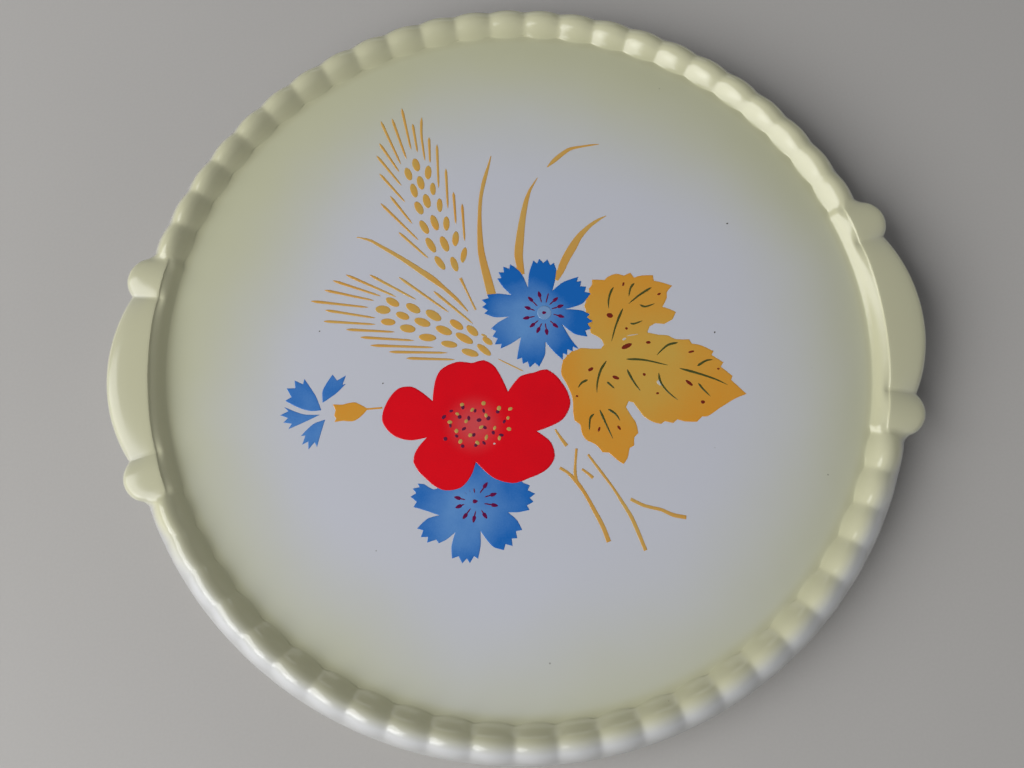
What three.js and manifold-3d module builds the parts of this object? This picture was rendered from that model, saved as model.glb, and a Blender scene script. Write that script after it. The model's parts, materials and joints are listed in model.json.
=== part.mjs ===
// A round ceramic cake plate with a lobed rim and two moulded handle tabs.
// One fired body carries a spray of flowers, and each painted field of the spray
// is a thin layer of enamel, in its own node, that lies on the flat well.
// Millimetres. +Z is up, +X runs through the handles, the foot stands on z = 0.

import * as THREE from 'three';
import { mergeVertices } from 'three/addons/utils/BufferGeometryUtils.js';
import Module from 'manifold-3d';

const wasm = await Module();
wasm.setup();

// ---------------------------------------------------------------- driving sizes

const plateRadius = 155;         // outer lip of the round body
const wellHeight = 15.5;         // top of the flat well above the foot plane
const ridgeRise = 5.9;           // crest of the rim above the well
const ridgeRadius = 146.7;       // radius of that crest
const slopeRadius = 138;         // where the well starts to rise to the rim
const servingRing = 104;         // everything painted stays inside this radius
const lobesPerSide = 24;         // pillows between one handle and the other
const grooveDepth = 1.3;         // how far a groove dips between two pillows
const handleHalfAngle = 19;      // degrees from the handle's middle to the rim lobes
const creaseHalfAngle = 12.3;    // degrees from the middle to the crease by a knob
const handleRise = 5.1;          // top of a handle tab above the well
const creaseDepth = 1.6;         // how far the creases dip in a handle tab
const arcSharpness = 5;          // how late the middle arc of a tab starts to dip
const knobSharpness = 2;         // and how late a knob does
const tabArc = { x: 97.8, y: 0, radius: 64.0 };
const tabKnob = { x: 144.8, y: 39.4, radius: 9.8 };
const enamelThickness = 0.2;
const enamelGap = 0.3;           // clear line between two neighbouring fields

// The body's underside and foot, from the lip to the middle: [radius, height].
const undersideSection = [
  [147, 9.0],
  [128, 8.0],
  [111, 6.6],
  [109, 0],
  [104.6, 0],
  [102.4, 8.0],
  [99, 9.4],
];
const undersideMiddle = 9.7;

// ---------------------------------------------------------------- enamel colours

const creamGlaze = new THREE.MeshStandardMaterial({ color: 0xd9d9bc, roughness: 0.16 });
const redEnamel = new THREE.MeshStandardMaterial({ color: 0xc80f18, roughness: 0.3 });
const blueEnamel = new THREE.MeshStandardMaterial({ color: 0x2f6fb8, roughness: 0.3 });
const ochreEnamel = new THREE.MeshStandardMaterial({ color: 0xbd8a30, roughness: 0.3 });

// ---------------------------------------------------------------- the fired body

const radians = THREE.MathUtils.degToRad;
const mix = THREE.MathUtils.lerp;

// Sections of the rim from the well to the lip, as [radius, height above the well]:
// through the middle of a pillow, and along the groove between two of them.
const pillowSection = [
  [slopeRadius, 0],
  [140.2, 0.6],
  [142.2, 2.5],
  [144.2, 4.8],
  [ridgeRadius, ridgeRise],
  [149.3, 5.2],
  [151.8, 2.8],
  [153.8, 0],
  [plateRadius, -3.2],
  [153.4, -5.4],
];
const grooveSection = [
  [slopeRadius + 1.4, 0],
  [141.0, 0.5],
  [142.8, 2.2],
  [144.6, 3.8],
  [ridgeRadius, ridgeRise - grooveDepth],
  [149.1, 4.0],
  [151.4, 2.0],
  [153.4, -0.5],
  [plateRadius, -3.2],
  [153.4, -5.4],
];

// The section through a handle tab: a radius, 1 where that radius is counted from the
// tab's own edge, the height above the well, and the share of a crease's dip there.
const tabProfile = [
  [slopeRadius, 0, 0, 0],
  [140.2, 0, 0.8, 0],
  [142.2, 0, 3.0, 0],
  [144.4, 0, handleRise - 0.4, 1],
  [ridgeRadius - 1, 0, handleRise, 1],
  [-3.4, 1, handleRise - 0.7, 1],
  [-0.8, 1, handleRise - 2.2, 0.5],
  [0, 1, handleRise - 4.2, 0],
  [-2.2, 1, handleRise - 6.6, 0],
  [152.4, 0, handleRise - 8.4, 0],
];

function tabSection(reach, dip) {
  return tabProfile.map(([radius, fromEdge, height, dipShare]) => [
    radius + fromEdge * reach,
    height - dipShare * dip,
  ]);
}

// How far a ray at `angle` from the handle's middle runs before it leaves a circle.
function rayReach(circle, angle) {
  const along = circle.x * Math.cos(angle) + circle.y * Math.sin(angle);
  const square = along ** 2 - circle.x ** 2 - circle.y ** 2 + circle.radius ** 2;
  return square > 0 ? along + Math.sqrt(square) : 0;
}

function tabReach(degrees) {
  const angle = radians(Math.abs(degrees));
  return Math.max(plateRadius, rayReach(tabArc, angle), rayReach(tabKnob, angle));
}

// A handle column: `place` runs from -1 to 1 across its knob or its middle arc.
function handleColumn(degrees, place, sharpness) {
  const dip = creaseDepth * Math.abs(place) ** sharpness;
  return { degrees, section: tabSection(tabReach(degrees), dip) };
}

// A rim column: `place` runs from -1 to 1 across its pillow.
function rimColumn(degrees, place) {
  const fullness = 1 - place ** 2;
  const section = pillowSection.map(([radius, height], i) => [
    mix(grooveSection[i][0], radius, fullness),
    mix(grooveSection[i][1], height, fullness),
  ]);
  return { degrees, section };
}

// Half a turn of columns, from the middle of one handle to the middle of the other.
function halfTurnColumns() {
  const columns = [];
  const arcSteps = 5;
  const knobSteps = 5;
  const pillowSteps = 4;
  const pillowAngle = (180 - 2 * handleHalfAngle) / lobesPerSide;
  for (let i = 0; i < arcSteps; i++) {
    const place = i / arcSteps;
    columns.push(handleColumn(creaseHalfAngle * place, place, arcSharpness));
  }
  for (let i = 0; i < knobSteps; i++) {
    const degrees = mix(creaseHalfAngle, handleHalfAngle, i / knobSteps);
    columns.push(handleColumn(degrees, (2 * i) / knobSteps - 1, knobSharpness));
  }
  for (let i = 0; i <= lobesPerSide * pillowSteps; i++) {
    const degrees = handleHalfAngle + (pillowAngle * i) / pillowSteps;
    columns.push(rimColumn(degrees, (2 * (i % pillowSteps)) / pillowSteps - 1));
  }
  for (let i = knobSteps - 1; i >= 0; i--) {
    const degrees = mix(creaseHalfAngle, handleHalfAngle, i / knobSteps);
    const column = handleColumn(degrees, (2 * i) / knobSteps - 1, knobSharpness);
    columns.push({ degrees: 180 - degrees, section: column.section });
  }
  for (let i = arcSteps - 1; i > 0; i--) {
    const place = i / arcSteps;
    const column = handleColumn(creaseHalfAngle * place, place, arcSharpness);
    columns.push({ degrees: 180 - creaseHalfAngle * place, section: column.section });
  }
  return columns;
}

function bodyGeometry() {
  const half = halfTurnColumns();
  const otherHalf = half.map((column) => ({ ...column, degrees: column.degrees + 180 }));
  const columns = [...half, ...otherHalf];
  const positions = [];
  for (const { degrees, section } of columns) {
    const angle = radians(degrees);
    const upper = section.map(([radius, height]) => [radius, wellHeight + height]);
    for (const [radius, z] of [[servingRing, wellHeight], ...upper, ...undersideSection]) {
      positions.push(radius * Math.cos(angle), radius * Math.sin(angle), z);
    }
  }
  const rings = positions.length / 3 / columns.length;
  const top = positions.length / 3;
  const bottom = top + 1;
  positions.push(0, 0, wellHeight, 0, 0, undersideMiddle);
  const triangles = [];
  columns.forEach((column, i) => {
    const here = i * rings;
    const next = ((i + 1) % columns.length) * rings;
    triangles.push(top, here, next);
    for (let k = 0; k + 1 < rings; k++) {
      triangles.push(here + k, here + k + 1, next + k + 1);
      triangles.push(here + k, next + k + 1, next + k);
    }
    triangles.push(bottom, next + rings - 1, here + rings - 1);
  });
  const geometry = new THREE.BufferGeometry();
  geometry.setAttribute('position', new THREE.Float32BufferAttribute(positions, 3));
  geometry.setIndex(triangles);
  geometry.computeVertexNormals();
  return geometry;
}

// ---------------------------------------------------------------- painted outlines
// Points are [x, y] on the well, from the plate's middle.

// A smooth run through hand-set points, with `steps` stretches between two of them.
function smoothRun(points, steps) {
  const knots = points.map(([x, y]) => new THREE.Vector3(x, y, 0));
  const curve = new THREE.CatmullRomCurve3(knots, false, 'centripetal');
  return curve.getPoints((points.length - 1) * steps).map(({ x, y }) => [x, y]);
}

// A cornflower petal: from one notch, over the shoulder, along the teeth and back.
// Between two teeth the edge falls back towards the flower's heart by toothDepth.
function toothedPetal({ from, shoulder, tips, back, to }, heart, toothDepth) {
  const rising = smoothRun([from, ...shoulder, tips[0]], 2);
  const teeth = tips.slice(1).flatMap((tip, i) => {
    const middle = [(tips[i][0] + tip[0]) / 2, (tips[i][1] + tip[1]) / 2];
    const reach = Math.hypot(middle[0] - heart[0], middle[1] - heart[1]);
    const scale = 1 - toothDepth / reach;
    const valley = [mix(heart[0], middle[0], scale), mix(heart[1], middle[1], scale)];
    return i + 2 < tips.length ? [valley, tip] : [valley];
  });
  const falling = smoothRun([tips[tips.length - 1], ...back, to], 2);
  return [...rising, ...teeth, ...falling];
}

// A brush stroke along [x, y, width] points.
function strokeOutline(points) {
  const line = new THREE.CatmullRomCurve3(
    points.map(([x, y, width]) => new THREE.Vector3(x, y, width)), false, 'centripetal');
  const middle = line.getPoints((points.length - 1) * 2);
  const left = [];
  const right = [];
  middle.forEach(({ x, y, z: width }, i) => {
    const before = middle[Math.max(i - 1, 0)];
    const after = middle[Math.min(i + 1, middle.length - 1)];
    const length = Math.hypot(after.x - before.x, after.y - before.y);
    const acrossX = (-(after.y - before.y) / length) * (width / 2);
    const acrossY = ((after.x - before.x) / length) * (width / 2);
    left.push([x + acrossX, y + acrossY]);
    right.unshift([x - acrossX, y - acrossY]);
  });
  return [...left, ...right];
}

// A grain of wheat: an ellipse with its long axis `lean` degrees from +X.
function grainOutline([x, y, length, width, lean]) {
  const sides = 10;
  return Array.from({ length: sides }, (_, i) => {
    const turn = (2 * Math.PI * i) / sides;
    const along = (length / 2) * Math.cos(turn);
    const across = (width / 2) * Math.sin(turn);
    const angle = radians(lean);
    return [
      x + along * Math.cos(angle) - across * Math.sin(angle),
      y + along * Math.sin(angle) + across * Math.cos(angle),
    ];
  });
}

// ---------------------------------------------------------------- solids of enamel

function plate(outline, thickness) {
  const corners = outline.filter(([x, y], i) => {
    const [nextX, nextY] = outline[(i + 1) % outline.length];
    return Math.hypot(nextX - x, nextY - y) > 0.02;
  });
  const shape = new THREE.Shape(corners.map(([x, y]) => new THREE.Vector2(x, y)));
  return new THREE.ExtrudeGeometry(shape, { depth: thickness, bevelEnabled: false });
}

function toSolid(geometry) {
  const bare = geometry.clone();
  bare.deleteAttribute('normal');
  bare.deleteAttribute('uv');
  const merged = mergeVertices(bare);
  return new wasm.Manifold(new wasm.Mesh({
    numProp: 3,
    vertProperties: new Float32Array(merged.attributes.position.array),
    triVerts: new Uint32Array(merged.index.array),
  }));
}

function toGeometry(solid) {
  const { vertProperties, triVerts } = solid.getMesh();
  const geometry = new THREE.BufferGeometry();
  geometry.setAttribute('position', new THREE.BufferAttribute(vertProperties, 3));
  geometry.setIndex(new THREE.BufferAttribute(triVerts, 1));
  geometry.computeVertexNormals();
  return geometry;
}

// A field of enamel cut back all round its neighbour, so that a clear line is left.
function cutBack(outline, neighbour) {
  const directions = 8;
  const cutter = plate(neighbour, 3 * enamelThickness).translate(0, 0, -enamelThickness);
  let solid = toSolid(plate(outline, enamelThickness));
  for (let i = 0; i < directions; i++) {
    const turn = (2 * Math.PI * i) / directions;
    const moved = cutter.clone();
    moved.translate(enamelGap * Math.cos(turn), enamelGap * Math.sin(turn), 0);
    solid = solid.subtract(toSolid(moved));
  }
  const pieces = solid.decompose().sort((a, b) => b.volume() - a.volume());
  return toGeometry(pieces[0]);
}

// ---------------------------------------------------------------- the flowers

// Five poppy petals, each from one notch to the next.
const poppyPetals = [
  [[-36.1, -19.2], [-34.6, -11.5], [-31.8, -6.8], [-25.0, -4.3], [-19.5, -5.2], [-14.8, -4.5],
    [-10.4, -8.0], [-6.4, -18.0]],
  [[-6.4, -18.0], [-1.2, -12.4], [4.5, -11.2], [9.7, -10.4], [15.2, -16.5], [17.5, -24.6],
    [13.4, -31.2], [3.4, -34.7]],
  [[3.4, -34.7], [8.2, -39.2], [9.2, -45.4], [5.4, -50.0], [-1.2, -52.5], [-7.5, -53.9],
    [-15.2, -51.0], [-21.1, -44.6]],
  [[-21.1, -44.6], [-22.8, -48.9], [-27.4, -53.8], [-34.6, -54.1], [-40.6, -49.3],
    [-45.0, -42.6], [-43.2, -37.5], [-39.3, -33.5]],
  [[-39.3, -33.5], [-45.4, -34.0], [-51.9, -31.6], [-56.0, -25.6], [-54.4, -19.2],
    [-49.2, -13.2], [-43.2, -13.1], [-36.1, -19.2]],
];
const poppyOutline = poppyPetals.flatMap((petal) => smoothRun(petal, 2).slice(0, -1));

const cornflowerToothDepth = 1.8;
const upperHeart = [11, 13];
const upperPetals = [
  { from: [5.4, 24.2], shoulder: [[6.4, 30.2]], back: [[17.5, 30.0]], to: [15.1, 22.0],
    tips: [[8.7, 35.7], [11.1, 36.2], [14.4, 35.7], [16.9, 33.9]] },
  { from: [15.1, 22.0], shoulder: [[19.6, 25.2]], back: [[26.5, 15.5]], to: [19.4, 13.8],
    tips: [[26.2, 27.1], [27.2, 25.2], [28.9, 22.6], [30.5, 19.6]] },
  { from: [19.4, 13.8], shoulder: [[25.6, 12.8]], back: [[22.0, 3.2]], to: [17.5, 7.6],
    tips: [[29.2, 10.8], [30.0, 7.8], [29.0, 4.8], [27.1, 1.6]] },
  { from: [17.5, 7.6], shoulder: [[20.2, 1.6]], back: [[13.2, -3.6]], to: [10.2, 0.8],
    tips: [[23.1, -3.2], [20.6, -3.9], [18.2, -5.2], [16.3, -7.1]] },
  { from: [10.2, 0.8], shoulder: [[9.5, -4.4]], back: [[-0.8, -1.4]], to: [0.7, 3.6],
    tips: [[6.7, -9.1], [2.9, -9.1], [0.4, -7.4], [-1.7, -5.4]] },
  { from: [0.7, 3.6], shoulder: [[-3.6, 1.2]], back: [[-7.8, 10.6]], to: [-3.4, 12.6],
    tips: [[-7.8, -0.4], [-10.0, 1.5], [-10.6, 4.8], [-10.9, 8.2]] },
  { from: [-3.4, 12.6], shoulder: [[-8.9, 12.8]], back: [[-6.4, 22.6]], to: [-1.7, 21.6],
    tips: [[-13.1, 14.7], [-13.8, 17.5], [-13.7, 20.6], [-11.4, 22.7]] },
  { from: [-1.7, 21.6], shoulder: [[-4.6, 25.2]], back: [[2.9, 31.2]], to: [5.4, 24.2],
    tips: [[-6.7, 29.1], [-5.9, 31.8], [-3.8, 34.0], [-0.9, 34.8]] },
];

// The lower flower has its upper petals under the poppy, where its outline closes.
const lowerHeart = [-22.5, -59.5];
const underPoppy = [[-13.5, -50.0], [-21.1, -43.0], [-29.0, -50.5]];
const lowerPetals = [
  { from: [-31.0, -52.4], shoulder: [[-38.0, -53.6], [-41.2, -51.4]], back: [[-41.8, -61.2]],
    to: [-36.5, -63.5], tips: [[-43.9, -50.8], [-45.9, -52.6], [-46.9, -55.6], [-46.0, -59.6]] },
  { from: [-36.5, -63.5], shoulder: [[-41.0, -64.4]], back: [[-34.2, -72.7]], to: [-30.9, -70.4],
    tips: [[-45.1, -67.7], [-43.9, -71.0], [-41.7, -73.3], [-37.4, -73.9]] },
  { from: [-30.9, -70.4], shoulder: [[-32.7, -75.4]], back: [[-21.7, -75.8]], to: [-21.4, -70.8],
    tips: [[-32.8, -79.9], [-29.1, -82.0], [-26.3, -82.2], [-23.1, -80.9]] },
  { from: [-21.4, -70.8], shoulder: [[-17.3, -76.8]], back: [[-7.4, -67.8]], to: [-10.4, -64.7],
    tips: [[-13.2, -78.5], [-9.8, -77.3], [-7.8, -74.6], [-5.7, -71.7]] },
  { from: [-10.4, -64.7], shoulder: [[-6.4, -65.0]], back: [[-5.0, -53.6]], to: [-11.5, -51.6],
    tips: [[-2.2, -64.5], [-0.4, -61.6], [0.5, -58.6], [-1.3, -55.2]] },
];

const budHeart = [-78.5, -20];
const budToothDepth = 2.4;
const budPetals = [
  { from: [-79.4, -19.2], shoulder: [[-81.3, -13.4]], back: [[-88.4, -17.3], [-83.6, -19.1]],
    to: [-79.4, -19.2], tips: [[-85.6, -6.0], [-89.4, -6.3], [-92.6, -9.3], [-93.3, -14.2]] },
  { from: [-80.0, -20.9], shoulder: [[-86.4, -20.1]], back: [[-86.0, -23.3]],
    to: [-80.0, -20.9], tips: [[-93.8, -16.6], [-95.4, -19.8], [-94.2, -22.8], [-92.4, -25.6]] },
  { from: [-78.0, -23.0], shoulder: [[-82.6, -24.3]], back: [[-80.0, -28.7]],
    to: [-78.0, -23.0], tips: [[-87.7, -28.7], [-87.2, -32.1], [-84.9, -34.2], [-81.5, -33.5]] },
  { from: [-78.8, -16.3], shoulder: [[-78.6, -11.4]], back: [[-73.4, -13.0]],
    to: [-78.8, -16.3], tips: [[-74.5, -5.2], [-69.2, -6.0], [-69.4, -9.4]] },
];

// The bud's cup, with the stalk that runs to the poppy.
const calyxOutline = [
  [-74.9, -17.2],
  ...smoothRun([[-71.3, -17.6], [-66.6, -17.1], [-63.9, -18.4], [-61.7, -19.9]], 2),
  [-55.7, -19.9],
  [-55.7, -20.6],
  ...smoothRun([[-61.7, -20.6], [-63.6, -22.5], [-67.0, -24.5], [-71.3, -24.1]], 2),
  [-74.5, -24.3],
  [-73.8, -23.0],
  [-74.5, -21.7],
  [-73.9, -19.6],
];

// The vine leaf, tooth by tooth: upper lobe, long right lobe, lower lobe, left bulge.
const leafOutline = [
  [27.2, 14.4], [28.6, 17.2], [30.0, 18.9], [29.8, 21.6], [31.3, 23.1], [31.6, 25.4],
  [34.3, 25.1], [36.6, 24.8], [38.5, 26.2], [41.6, 27.0], [44.7, 26.0], [47.4, 27.0],
  [48.7, 24.8], [51.6, 25.4], [56.4, 25.2], [56.6, 22.7], [59.6, 21.8], [63.7, 20.0],
  [61.3, 17.6], [60.7, 14.8], [58.6, 11.4], [61.0, 10.4], [63.7, 8.8], [61.9, 5.8],
  [58.4, 4.2], [54.8, 4.8], [52.3, 3.6], [51.2, 1.3], [55.4, 0.0], [59.2, -0.7],
  [62.0, -2.4], [67.4, -3.0], [68.2, -4.8], [72.0, -6.0], [76.4, -8.7], [75.4, -10.2],
  [79.7, -13.6], [78.3, -15.2], [82.4, -19.4], [81.6, -20.9], [86.8, -27.1], [82.7, -28.3],
  [79.2, -29.9], [75.6, -31.7], [70.7, -34.4], [68.2, -34.5], [65.8, -36.4], [61.4, -35.9],
  [58.4, -34.8], [56.5, -36.1], [53.4, -35.1], [51.8, -36.0], [48.8, -35.0], [45.6, -32.6],
  [43.6, -29.4], [42.0, -26.6], [40.3, -26.0], [39.0, -28.2], [40.4, -31.4], [42.1, -34.8],
  [42.5, -38.8], [40.7, -40.4], [40.3, -43.5], [38.4, -44.4], [37.2, -48.0], [35.4, -50.3],
  [33.4, -48.8], [30.2, -45.4], [27.8, -45.1], [26.4, -42.9], [24.6, -41.2], [22.3, -39.9],
  [20.8, -37.4], [20.4, -33.6], [18.3, -31.7], [18.2, -28.0], [18.5, -24.5], [18.1, -21.0],
  [16.7, -16.8], [15.2, -13.0], [15.6, -9.8], [16.8, -7.0], [20.0, -4.2], [24.2, -2.9],
  [28.2, -3.5], [31.9, -3.8], [33.3, -2.4], [32.5, -0.2], [30.9, 1.4], [28.6, 2.8],
  [28.2, 6.0], [28.4, 10.0],
];

// ---------------------------------------------------------------- leaves of grass, stems

const grassBlades = {
  grass_blade_left: [[-62.5, 51.9, 0.4], [-57.3, 50.1, 1.1], [-52.8, 47.0, 1.4],
    [-45.0, 41.3, 1.8], [-37.8, 35.4, 2.3], [-32.6, 31.0, 2.5], [-28.4, 26.9, 1.6],
    [-23.6, 21.6, 1.4], [-19.6, 16.2, 0.5]],
  grass_blade_tall: [[-9.4, 22.0, 3.7], [-10.7, 30.0, 3.4], [-12.1, 40.0, 2.8],
    [-12.2, 47.0, 2.3], [-11.6, 57.0, 1.6], [-10.3, 66.0, 1.5], [-8.2, 73.5, 1.6],
    [-5.9, 80.0, 0.9], [-4.7, 83.8, 0.3]],
  grass_blade_middle: [[3.4, 30.0, 2.4], [2.9, 38.0, 3.5], [4.0, 45.0, 3.4], [5.9, 54.0, 2.6],
    [8.0, 61.5, 2.0], [10.2, 66.8, 1.2], [13.9, 72.2, 0.3]],
  grass_blade_right: [[17.4, 26.2, 0.9], [19.2, 30.0, 2.8], [21.8, 35.0, 3.3],
    [25.2, 40.0, 3.4], [28.4, 44.4, 2.6], [33.0, 48.6, 1.7], [37.4, 51.3, 1.1],
    [40.5, 52.6, 0.3]],
};
const looseBlade = [[18.4, 76.7, 0.4], [21.4, 79.3, 1.8], [25.1, 82.1, 1.9], [28.8, 84.2, 1.5],
  [33.3, 84.9, 1.0], [37.8, 85.3, 0.8], [41.2, 85.4, 0.3]];

const stems = {
  wheat_stem: [[-21.5, 30.6, 1.3], [-19.3, 24.5, 0.8], [-16.4, 16.5, 0.8]],
  stem_by_poppy: [[10.5, -34.5, 0.7], [12.4, -38.2, 1.2], [14.3, -41.4, 1.5]],
  stem_short: [[19.2, -50.8, 0.9], [21.3, -52.7, 1.1], [23.1, -54.6, 1.3]],
  stem_long: [[22.1, -45.4, 0.9], [26.5, -52.7, 1.1], [30.2, -58.9, 1.0], [33.1, -64.7, 1.3],
    [36.0, -70.9, 1.5], [39.7, -83.3, 1.4]],
  stem_right: [[36.4, -63.8, 1.3], [41.3, -66.7, 1.3], [47.5, -68.8, 1.3], [51.7, -71.1, 1.5],
    [56.6, -72.5, 1.5]],
};
const forkTrunk = [[10.8, -49.6, 1.2], [13.6, -51.7, 1.2], [16.7, -55.6, 1.6],
  [19.4, -60.3, 1.4], [22.3, -67.1, 1.6], [24.8, -73.3, 1.7], [26.3, -79.0, 1.8]];
const forkBranch = [[18.0, -42.7, 1.0], [16.9, -48.5, 1.0], [16.4, -52.8, 1.3],
  [17.0, -56.4, 1.0]];

// ---------------------------------------------------------------- ears of wheat
// Grains as [x, y, length, width, lean of the long axis from +X in degrees].

const upperEar = [
  [-36.3, 82.3, 5.6, 2.8, 102], [-39.8, 78.4, 5.6, 2.6, 105], [-31.5, 78.4, 5.8, 2.6, 85],
  [-34.9, 74.0, 5.8, 2.7, 100], [-37.9, 70.7, 6.0, 2.6, 102], [-30.0, 70.8, 5.2, 2.2, 90],
  [-32.9, 65.5, 6.0, 2.8, 100], [-36.3, 62.7, 5.8, 2.8, 112], [-27.7, 63.2, 5.6, 2.2, 88],
  [-34.7, 54.0, 6.2, 2.6, 115], [-30.3, 55.6, 6.6, 2.7, 105], [-25.5, 54.8, 5.8, 2.4, 87],
  [-32.5, 45.9, 6.8, 2.7, 115], [-26.9, 45.9, 6.6, 2.8, 108], [-22.2, 47.8, 6.0, 2.5, 82],
  [-29.3, 37.8, 6.4, 2.5, 120], [-23.5, 36.8, 6.2, 2.5, 105], [-19.4, 40.4, 6.2, 2.2, 75],
];
const leftEar = [
  [-53.4, 19.8, 5.6, 3.2, -12], [-49.4, 22.7, 5.6, 2.8, -35], [-51.6, 14.5, 5.4, 2.6, -10],
  [-45.7, 16.6, 5.2, 2.7, -28], [-41.3, 19.4, 6.0, 3.0, -35], [-44.0, 11.1, 5.8, 3.0, -15],
  [-38.0, 13.2, 6.2, 3.0, -25], [-33.4, 15.7, 6.6, 3.2, -38], [-36.4, 6.7, 6.4, 2.8, -10],
  [-29.7, 9.1, 6.4, 3.0, -28], [-24.5, 11.0, 5.8, 2.8, -40], [-28.0, 3.2, 6.0, 2.5, -15],
  [-21.8, 5.1, 7.2, 2.8, -35], [-18.4, 8.0, 5.4, 2.8, -48], [-20.0, -1.0, 6.4, 2.6, -22],
  [-14.4, -0.3, 6.4, 2.4, -45], [-12.7, 3.2, 4.4, 2.2, -42],
];

// ---------------------------------------------------------------- assembly

const cakePlate = new THREE.Group();

function addNode(name, geometry, material, z) {
  const mesh = new THREE.Mesh(geometry, material);
  mesh.name = name;
  mesh.position.z = z;
  cakePlate.add(mesh);
}

function addEnamel(name, geometry, material) {
  addNode(name, geometry, material, wellHeight);
}

addNode('plate_body', bodyGeometry(), creamGlaze, 0);

addEnamel('poppy', plate(poppyOutline, enamelThickness), redEnamel);

const upperOutline = upperPetals.flatMap(
  (petal) => toothedPetal(petal, upperHeart, cornflowerToothDepth));
addEnamel('cornflower_upper', plate(upperOutline, enamelThickness), blueEnamel);

const lowerOutline = [
  ...lowerPetals.flatMap((petal) => toothedPetal(petal, lowerHeart, cornflowerToothDepth)),
  ...underPoppy,
];
addEnamel('cornflower_lower', cutBack(lowerOutline, poppyOutline), blueEnamel);

budPetals.forEach((petal, i) => {
  const outline = toothedPetal(petal, budHeart, budToothDepth);
  addEnamel(`bud_petal_${i + 1}`, plate(outline, enamelThickness), blueEnamel);
});
addEnamel('bud_calyx', plate(calyxOutline, enamelThickness), ochreEnamel);

addEnamel('vine_leaf', cutBack(leafOutline, upperOutline), ochreEnamel);

for (const [name, points] of Object.entries(grassBlades)) {
  addEnamel(name, cutBack(strokeOutline(points), upperOutline), ochreEnamel);
}
addEnamel('grass_blade_loose', plate(strokeOutline(looseBlade), enamelThickness), ochreEnamel);

for (const [name, points] of Object.entries(stems)) {
  addEnamel(name, plate(strokeOutline(points), enamelThickness), ochreEnamel);
}
const trunk = toSolid(plate(strokeOutline(forkTrunk), enamelThickness));
const branch = toSolid(plate(strokeOutline(forkBranch), enamelThickness));
addEnamel('stem_fork', toGeometry(trunk.add(branch)), ochreEnamel);

for (const [ear, grains] of Object.entries({ upper: upperEar, left: leftEar })) {
  grains.forEach((grain, i) => {
    const name = `${ear}_ear_grain_${String(i + 1).padStart(2, '0')}`;
    addEnamel(name, plate(grainOutline(grain), enamelThickness), ochreEnamel);
  });
}

export default cakePlate;
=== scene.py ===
import json
import math
import bmesh
import bpy
import numpy as np
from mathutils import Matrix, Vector
from mathutils.geometry import delaunay_2d_cdt

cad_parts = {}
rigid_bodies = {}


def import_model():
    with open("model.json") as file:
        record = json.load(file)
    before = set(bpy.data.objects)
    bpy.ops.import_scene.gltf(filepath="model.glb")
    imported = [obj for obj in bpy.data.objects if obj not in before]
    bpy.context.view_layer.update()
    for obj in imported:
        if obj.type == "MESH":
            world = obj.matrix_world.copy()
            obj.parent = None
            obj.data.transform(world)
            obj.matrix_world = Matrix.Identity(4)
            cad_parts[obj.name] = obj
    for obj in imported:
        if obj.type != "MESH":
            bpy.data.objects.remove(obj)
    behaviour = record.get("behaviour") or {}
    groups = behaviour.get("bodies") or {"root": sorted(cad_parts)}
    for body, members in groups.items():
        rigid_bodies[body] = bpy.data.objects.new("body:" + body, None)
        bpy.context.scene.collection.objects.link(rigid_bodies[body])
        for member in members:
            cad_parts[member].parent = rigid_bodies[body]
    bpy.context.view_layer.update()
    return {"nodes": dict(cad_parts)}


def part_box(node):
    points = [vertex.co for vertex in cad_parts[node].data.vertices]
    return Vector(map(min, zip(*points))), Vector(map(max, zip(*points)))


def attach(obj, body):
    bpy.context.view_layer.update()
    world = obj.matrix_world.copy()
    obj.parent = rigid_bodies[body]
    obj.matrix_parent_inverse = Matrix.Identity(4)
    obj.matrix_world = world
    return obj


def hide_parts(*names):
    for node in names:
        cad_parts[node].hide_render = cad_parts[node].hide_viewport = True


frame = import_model()
mm = 0.001
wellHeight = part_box("poppy")[0].z          # the paint lies on the well
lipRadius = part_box("plate_body")[1].y      # the round body, clear of the handle tabs


# Small helpers for node trees and meshes

def addNode(tree, kind, inputs=None, **settings):
    node = tree.nodes.new(kind)
    for name, value in settings.items():
        setattr(node, name, value)
    for name, value in (inputs or {}).items():
        if isinstance(value, bpy.types.NodeSocket):
            tree.links.new(value, node.inputs[name])
        else:
            node.inputs[name].default_value = value
    return node


def calc(tree, operation, *terms):
    node = addNode(tree, "ShaderNodeMath", dict(enumerate(terms)), operation=operation)
    return node.outputs[0]


def rampValue(tree, value, start, end, low=0.0, high=1.0):
    node = addNode(tree, "ShaderNodeMapRange",
                   {"Value": value, "From Min": start, "From Max": end, "To Min": low, "To Max": high},
                   interpolation_type="SMOOTHSTEP")
    return node.outputs["Result"]


def mixColour(tree, factor, first, second):
    node = addNode(tree, "ShaderNodeMix", {"Factor": factor, 6: first, 7: second}, data_type="RGBA")
    return node.outputs[2]


def splitVector(tree, vector):
    return addNode(tree, "ShaderNodeSeparateXYZ", {"Vector": vector}).outputs


def readAttribute(tree, name, kind="FLOAT"):
    node = addNode(tree, "GeometryNodeInputNamedAttribute", {"Name": name}, data_type=kind)
    return node.outputs["Attribute"]


def finishTree(tree, geometry, get, put):
    smooth = addNode(tree, "GeometryNodeSetShadeSmooth", {"Geometry": geometry})
    done = addNode(tree, "GeometryNodeSetMaterial",
                   {"Geometry": smooth.outputs[0], "Material": get["Material"]})
    tree.links.new(done.outputs[0], put["Geometry"])
    return tree


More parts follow.
